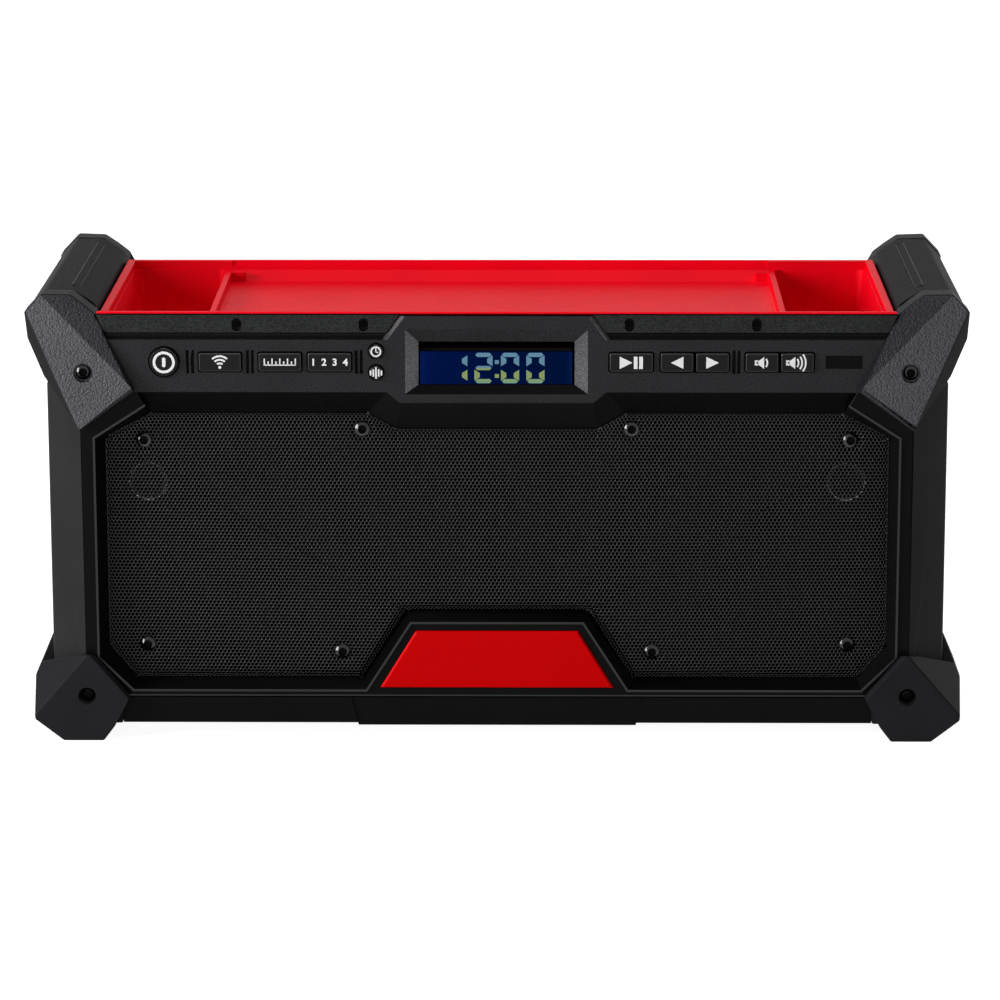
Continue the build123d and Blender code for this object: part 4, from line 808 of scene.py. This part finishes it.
# Textured ABS, as on the panel
trim_abs = moulded("trim_abs", "#232424", 0.4, grain=0.6, relief=0.25, level=0.06, grain_shade=0.6)
SEAT_Y, TRIM_Z = -81.2, 189.9           # floor and height of the screws' recesses
INNER_END, OUTER_END, UPPER_EDGE = 50 * MM, 172 * MM, 193.3 * MM    # corners past these move
STRIP_IN, STRIP_OUT, STRIP_UP = 0.5 * MM, 0.9 * MM, 0.9 * MM    # by which a strip is longer
for side in ("left", "right"):
    strip = from_cad("trim_strip_" + side)
    for vert in strip.verts:
        if abs(vert.co.x) < INNER_END:
            vert.co.x -= math.copysign(STRIP_IN, vert.co.x)
        if abs(vert.co.x) > OUTER_END:
            vert.co.x += math.copysign(STRIP_OUT, vert.co.x)
        if vert.co.z > UPPER_EDGE:
            vert.co.z += STRIP_UP
    ease(strip, 0.3)
    # Faces at the screw recesses' depth and behind take the near-black ABS: painted shade in the
    # recesses
    for face in strip.faces:
        face.material_index = int(face.calc_center_median().y > SEAT_Y * MM - 1.5 * MM)
    on_radio(strip, "trim_moulding_" + side, [trim_abs, frame_and_shade_abs], "trim_strip_" + side)
TRIM_SCREW_X = (58.9, 115.2)
TRIM_SCREW = [(0.9, -3.0, 0), (0.9, 0, 0), (1.4, 0, 0), (1.35, 0.4, 0), (1.1, 0.65, 0),
              (0.75, 0.7, 1), (0.7, 0.2, 1)]
places = [(side * x, SEAT_Y, TRIM_Z) for side in (-1, 1) for x in TRIM_SCREW_X]
screws("trim_screw_heads", "trim_screws", black_oxide, places, TRIM_SCREW)

# ---------------------------------------------------------------------------------------
# Storage tray: one red ABS moulding with a lip, a shelf, a platform and two end pockets. Its
# well drops into the case's neck, and bosses under its shelf take the trim screws.
# ---------------------------------------------------------------------------------------

# Red ABS from a fine matt tool: strong colour and a soft sheen
tray_abs = moulded("tray_abs", "#E00018", 0.45, grain=0.9, relief=0.02, tone=0.04, level=0.04)
TRAY_FRONT = -80.5 * MM                     # in front of it lies the lip
LIP_FOOT, LIP_RISE = 194.0 * MM, 1.1 * MM   # lower edge of the lip, and how far it is raised
tray = from_cad("storage_tray")
for vert in tray.verts:
    if vert.co.y < TRAY_FRONT and abs(vert.co.z - LIP_FOOT) < 0.1 * MM:
        vert.co.z += LIP_RISE
ease(tray, 0.8)
on_radio(tray, "tray_moulding", tray_abs, "storage_tray")

# ---------------------------------------------------------------------------------------
# Corner guards: eight bumpers of impact-modified nylon with a leather grain, each pulled on
# by one screw. The lower four are also the feet.
# ---------------------------------------------------------------------------------------

# Leather-grained nylon in copies painted for light and shade: paler on an upper guard's
# broad outer facet, whose grain catches the light, as painted light; darker on its inward
# shoulder, darker and smoother on the sides and near black underneath, as painted shade.
# The lower guards' outer faces, the feet, are darker with a shallower grain
lit_guard_nylon = moulded("lit_guard_nylon", "#4C4C50", 0.4, grain=0.9, relief=0.7, pebbled=True,
                      level=0.1, grain_shade=0.22)
shaded_shoulder_nylon = moulded("shaded_shoulder_nylon", "#2E2E31", 0.4, grain=0.9, relief=0.7, pebbled=True,
                         level=0.08, grain_shade=0.22)
foot_nylon = moulded("foot_nylon", "#202022", 0.45, grain=1.1, relief=0.1, pebbled=True,
                     level=0.02)
shaded_flank_nylon = moulded("shaded_flank_nylon", "#1A1A1C", 0.5, grain=0.9, relief=0.05, level=0.03)
underside_shade_nylon = moulded("underside_shade_nylon", "#0A0A0B", 0.5, grain=0.9, relief=0.05, level=0.01)
OUTER, SHADED_FLANK, UNDERSIDE_SHADE, SHADED_SHOULDER = 0, 1, 2, 3
# Corner of an upper guard's notch for the trim strip, and the x to which it goes
NOTCH_X, NOTCH_Z, STRIP_CORNER = 178.0, (186.5, 187.0), 173.9
# Radius of an upper guard's lower edge, and the least length of the sides it is made of
LOWER_ROUND, LOWER_SIDE = 2.4 * MM, 10 * MM
# Inner corner of a foot, and where the CAD ends it
FOOT_CORNER, FOOT_CUT = (165.6, 19.9), 172.5
GUARD_FRONT = 83.9          # y beyond which a guard's corner lies on its outer face


def foot_corner(guard):
    """Gives a lower guard the inner corner of its outline."""
    bmesh.ops.bisect_plane(guard, geom=everything(guard),
                           plane_co=(0, 0, FOOT_CORNER[1] * MM), plane_no=(0, 0, 1))
    for vert in guard.verts:
        x, y, z = (abs(value) / MM for value in vert.co)
        if x < FOOT_CUT + 0.1 and y > GUARD_FRONT and abs(z - FOOT_CORNER[1]) < 0.01:
            vert.co.x = math.copysign(FOOT_CORNER[0] * MM, vert.co.x)
    guard.normal_update()


def strip_corner(guard):
    """Straightens an upper guard's edge beside the trim strip and rounds its lower edge."""
    for vert in guard.verts:
        x, y, z = (abs(value) / MM for value in vert.co)
        if abs(x - NOTCH_X) < 0.1 and y > GUARD_FRONT and NOTCH_Z[0] < z < NOTCH_Z[1]:
            vert.co.x = math.copysign(STRIP_CORNER * MM, vert.co.x)
    guard.normal_update()
    lower_edges = [edge for edge in guard.edges if len(edge.link_faces) == 2
                   and edge.calc_length() > LOWER_SIDE
                   and max(abs(face.normal.y) for face in edge.link_faces) > 0.85
                   and min(face.normal.z for face in edge.link_faces) < -0.5]
    bmesh.ops.bevel(guard, geom=lower_edges, offset=LOWER_ROUND, offset_type="OFFSET",
                    segments=4, profile=0.5, affect="EDGES", material=-1)
    guard.normal_update()


def guard_zone(face, upper):
    """The copy of the nylon a face gets by its facing: painted shade underneath, on the sides and
    on an upper guard's inward shoulder; elsewhere the outer finish, painted pale as light on an
    upper guard.
    """
    across, along, up = face.normal
    # Facing down: near black, painted shade under the guard
    if up < -0.3 and abs(along) < 0.5:
        return UNDERSIDE_SHADE
    # Faces turned to the sides: smoother nylon, darker as painted shade
    if abs(along) < (0.5 if up < -0.3 else 0.85) or abs(across) > 0.5:
        return SHADED_FLANK
    # An upper guard's inward shoulder: darker, painted shade; its outer facet: paler, painted light
    return SHADED_SHOULDER if upper and across * face.calc_center_median().x < 0 else OUTER


for depth in ("front", "rear"):
    for side in ("left", "right"):
        for height, correct, finish in (("upper", strip_corner, lit_guard_nylon),
                                        ("lower", foot_corner, foot_nylon)):
            node = f"guard_{height}_{depth}_{side}"
            guard = from_cad(node)
            correct(guard)
            ease(guard, 0.8, where=lambda edge: edge.calc_face_angle_signed() > 0)
            for face in guard.faces:
                face.material_index = guard_zone(face, height == "upper")
            on_radio(guard, node + "_moulding",
                     [finish, shaded_flank_nylon, underside_shade_nylon, shaded_shoulder_nylon], node)
GUARD_SCREW = [(1.8, -6.0, 0), (1.8, 0, 0), (3.3, 0, 0), (3.3, 0.5, 0), (3.05, 0.75, 0),
               (2.0, 1.35, 0), (1.75, 1.4, 1), (1.6, 0.2, 1)]
GUARD_SCREWS = ((183.4, 85.0, 168.8), (184.6, 86.4, 20.9))
places = [(x * side_x, y * side_y, z) for x, y, z in GUARD_SCREWS
          for side_x in (-1, 1) for side_y in (-1, 1)]
screws("guard_screw_heads", "guard_screws", black_oxide, places, GUARD_SCREW)

# ---------------------------------------------------------------------------------------
# Handles: moulded nylon bars, each on a steel rod that is screwed between two upper
# guards, with a narrow band let into the shoulder.
# ---------------------------------------------------------------------------------------

# Spark-eroded nylon: matt and nearly black, with a paler line painted along the band's
# rounded edges as a painted highlight
handle_nylon = moulded("handle_nylon", "#161617", 0.5, grain=0.9, relief=0.03, level=0.01)
band_edge_highlight = moulded("band_edge_highlight", "#222224", 0.4, grain=0.8, relief=0.01, level=0.03)
# Zinc-plated steel: bright and faintly streaked
zinc_steel = plated("zinc_steel", "#B8BABD", 0.3)
for side in ("left", "right"):
    handle = from_cad("handle_" + side)
    ease(handle, 1.6)
    on_radio(handle, f"handle_{side}_moulding", handle_nylon, "handle_" + side)
    strap = from_cad("handle_band_" + side)
    # The band's rounded edges take the paler nylon: a painted highlight
    for face in ease(strap, 0.3):
        face.material_index = 1
    on_radio(strap, f"handle_band_{side}_moulding", [handle_nylon, band_edge_highlight],
             "handle_band_" + side)
    dress("handle_rod_" + side, zinc_steel)

# ---------------------------------------------------------------------------------------
# Rear: an ABS cover held by four screws, with the battery bay and its brass blades, three
# sockets in a compartment, and the soft port door that turns on a steel pin.
# ---------------------------------------------------------------------------------------

# Spark-eroded ABS, a little glossier than the case
cover_abs = moulded("cover_abs", "#161618", 0.45, grain=0.8, relief=0.04)
COVER_TOP, COVER_BACK, COVER_DROP = 190.0 * MM, 80.0 * MM, 4.0 * MM
cover = from_cad("rear_cover")
for vert in cover.verts:
    if vert.co.z > COVER_TOP and vert.co.y > COVER_BACK:
        vert.co.z -= COVER_DROP
ease(cover, 0.4)
on_radio(cover, "rear_cover_moulding", cover_abs, "rear_cover")
REAR_SCREW = [(1.8, -6.0, 0), (1.8, 0, 0), (3.5, 0, 0), (3.45, 1.0, 0), (2.9, 1.9, 0),
              (1.9, 2.2, 0), (1.75, 2.15, 1), (1.6, 0.6, 1)]
places = [(x, 81.0, z) for x in (-120, 120) for z in (176, 16)]
screws("rear_screw_heads", "rear_screws", black_oxide, places, REAR_SCREW)
# Thermoplastic rubber: soft, dark grey and matt
door_rubber = moulded("door_rubber", "#2A2A2C", 0.6, grain=0.8, relief=0.03)
on_radio(from_cad("port_door"), "port_door_moulding", door_rubber, "port_door")
# Glass-filled nylon: black and half glossy
socket_nylon = moulded("socket_nylon", "#151517", 0.4, grain=0.7, relief=0.01)
# Stamped brass: warm and bright
brass = plated("brass", "#B08B3E", 0.3)
for node, finish in (
        ("port_door_pin", zinc_steel), ("usb_socket", zinc_steel), ("aux_jack", socket_nylon),
        ("power_inlet", socket_nylon), ("terminal_block", socket_nylon),
        ("terminal_blades", brass)):
    dress(node, finish)

# ---------------------------------------------------------------------------------------
# Studio: a pale paper floor under a white surround, soft lamps, and the camera. Seen
# directly, in gloss or through the lens, floor and surround are white.
# ---------------------------------------------------------------------------------------

FLOOR_SIZE, FLOOR_GLOW, SKY_FILL = 8.0, 0.93, 0.07
floor_mesh = bpy.data.meshes.new("floor")
shape = bmesh.new()
bmesh.ops.create_grid(shape, x_segments=1, y_segments=1, size=FLOOR_SIZE / 2)
shape.to_mesh(floor_mesh)
shape.free()
floor = bpy.data.objects.new("floor", floor_mesh)
bpy.context.scene.collection.objects.link(floor)


def seen(tree):
    """1 where a ray comes from the camera, from gloss or through glass, else 0."""
    rays = add_node(tree, "LightPath")
    either = add_node(tree, "Math", {
        0: rays.outputs["Is Camera Ray"], 1: rays.outputs["Is Glossy Ray"]}, operation="MAXIMUM")
    any_of_them = add_node(tree, "Math", {
        0: either.outputs[0], 1: rays.outputs["Is Transmission Ray"]}, operation="MAXIMUM")
    return any_of_them.outputs[0]


# Matt paper: pale grey by its own light, white to the eye, and it keeps the shadow
paper, tree = blank("paper")
white = add_node(tree, "BsdfDiffuse", {"Color": linear("#C8C8C8")})
glow = add_node(tree, "Emission", {"Color": linear("#FFFFFF"), "Strength": FLOOR_GLOW})
both = add_node(tree, "AddShader", {0: white.outputs[0], 1: glow.outputs[0]})
mix = add_node(tree, "MixShader", {0: seen(tree), 1: white.outputs[0], 2: both.outputs[0]})
add_node(tree, "OutputMaterial", {"Surface": mix.outputs[0]})
floor_mesh.materials.append(paper)

world = bpy.data.worlds.new("studio")
bpy.context.scene.world = world
world.use_nodes = True
tree = world.node_tree
tree.nodes.clear()
level = add_node(tree, "MapRange", {"Value": seen(tree), "To Min": SKY_FILL, "To Max": 1.0})
sky = add_node(tree, "Background", {
    "Color": linear("#FFFFFF"), "Strength": level.outputs["Result"]})
add_node(tree, "OutputWorld", {"Surface": sky.outputs["Background"]})


def softbox(name, place, width, height, watts, aim=(0, 0, 0.1)):
    """A rectangular softbox that looks at a point, all in metres."""
    lamp = bpy.data.lights.new(name, "AREA")
    lamp.shape, lamp.size, lamp.size_y, lamp.energy = "RECTANGLE", width, height, watts
    holder = bpy.data.objects.new(name, lamp)
    bpy.context.scene.collection.objects.link(holder)
    holder.location = place
    direction = Vector(aim) - Vector(place)
    holder.rotation_euler = direction.to_track_quat("-Z", "Y").to_euler()


softbox("key_lamp", (-2.1, -0.9, 0.65), 0.9, 1.4, 75)
softbox("front_left_lamp", (-0.85, -2.4, 0.3), 1.0, 0.5, 13)
softbox("front_right_lamp", (0.8, -2.4, 0.3), 1.0, 0.5, 4.5)
softbox("top_lamp", (0.0, 0.1, 2.0), 1.6, 1.2, 19)
softbox("side_lamp", (2.1, 1.15, 0.35), 1.0, 1.0, 20, aim=(0.2, 0, 0.1))

LENS_PIXELS, FRAME_PIXELS, SENSOR = 4300, 1000, 36      # focal length, frame width, sensor mm
CAMERA_PLACE = (24.32 * MM, -1953.48 * MM, 548.31 * MM)
CAMERA_PITCH, CAMERA_YAW, CAMERA_ROLL = 13.18, 0.70, -0.09
camera = bpy.data.objects.new("camera", bpy.data.cameras.new("camera"))
bpy.context.scene.collection.objects.link(camera)
camera.data.sensor_width = SENSOR
camera.data.lens = LENS_PIXELS * SENSOR / FRAME_PIXELS
camera.matrix_world = (
    Matrix.Translation(CAMERA_PLACE)
    @ Matrix.Rotation(math.radians(CAMERA_YAW), 4, "Z")
    @ Matrix.Rotation(math.radians(90 - CAMERA_PITCH), 4, "X")
    @ Matrix.Rotation(math.radians(CAMERA_ROLL), 4, "Z")
)
bpy.context.scene.camera = camera
bpy.context.scene.view_settings.view_transform = "Standard"
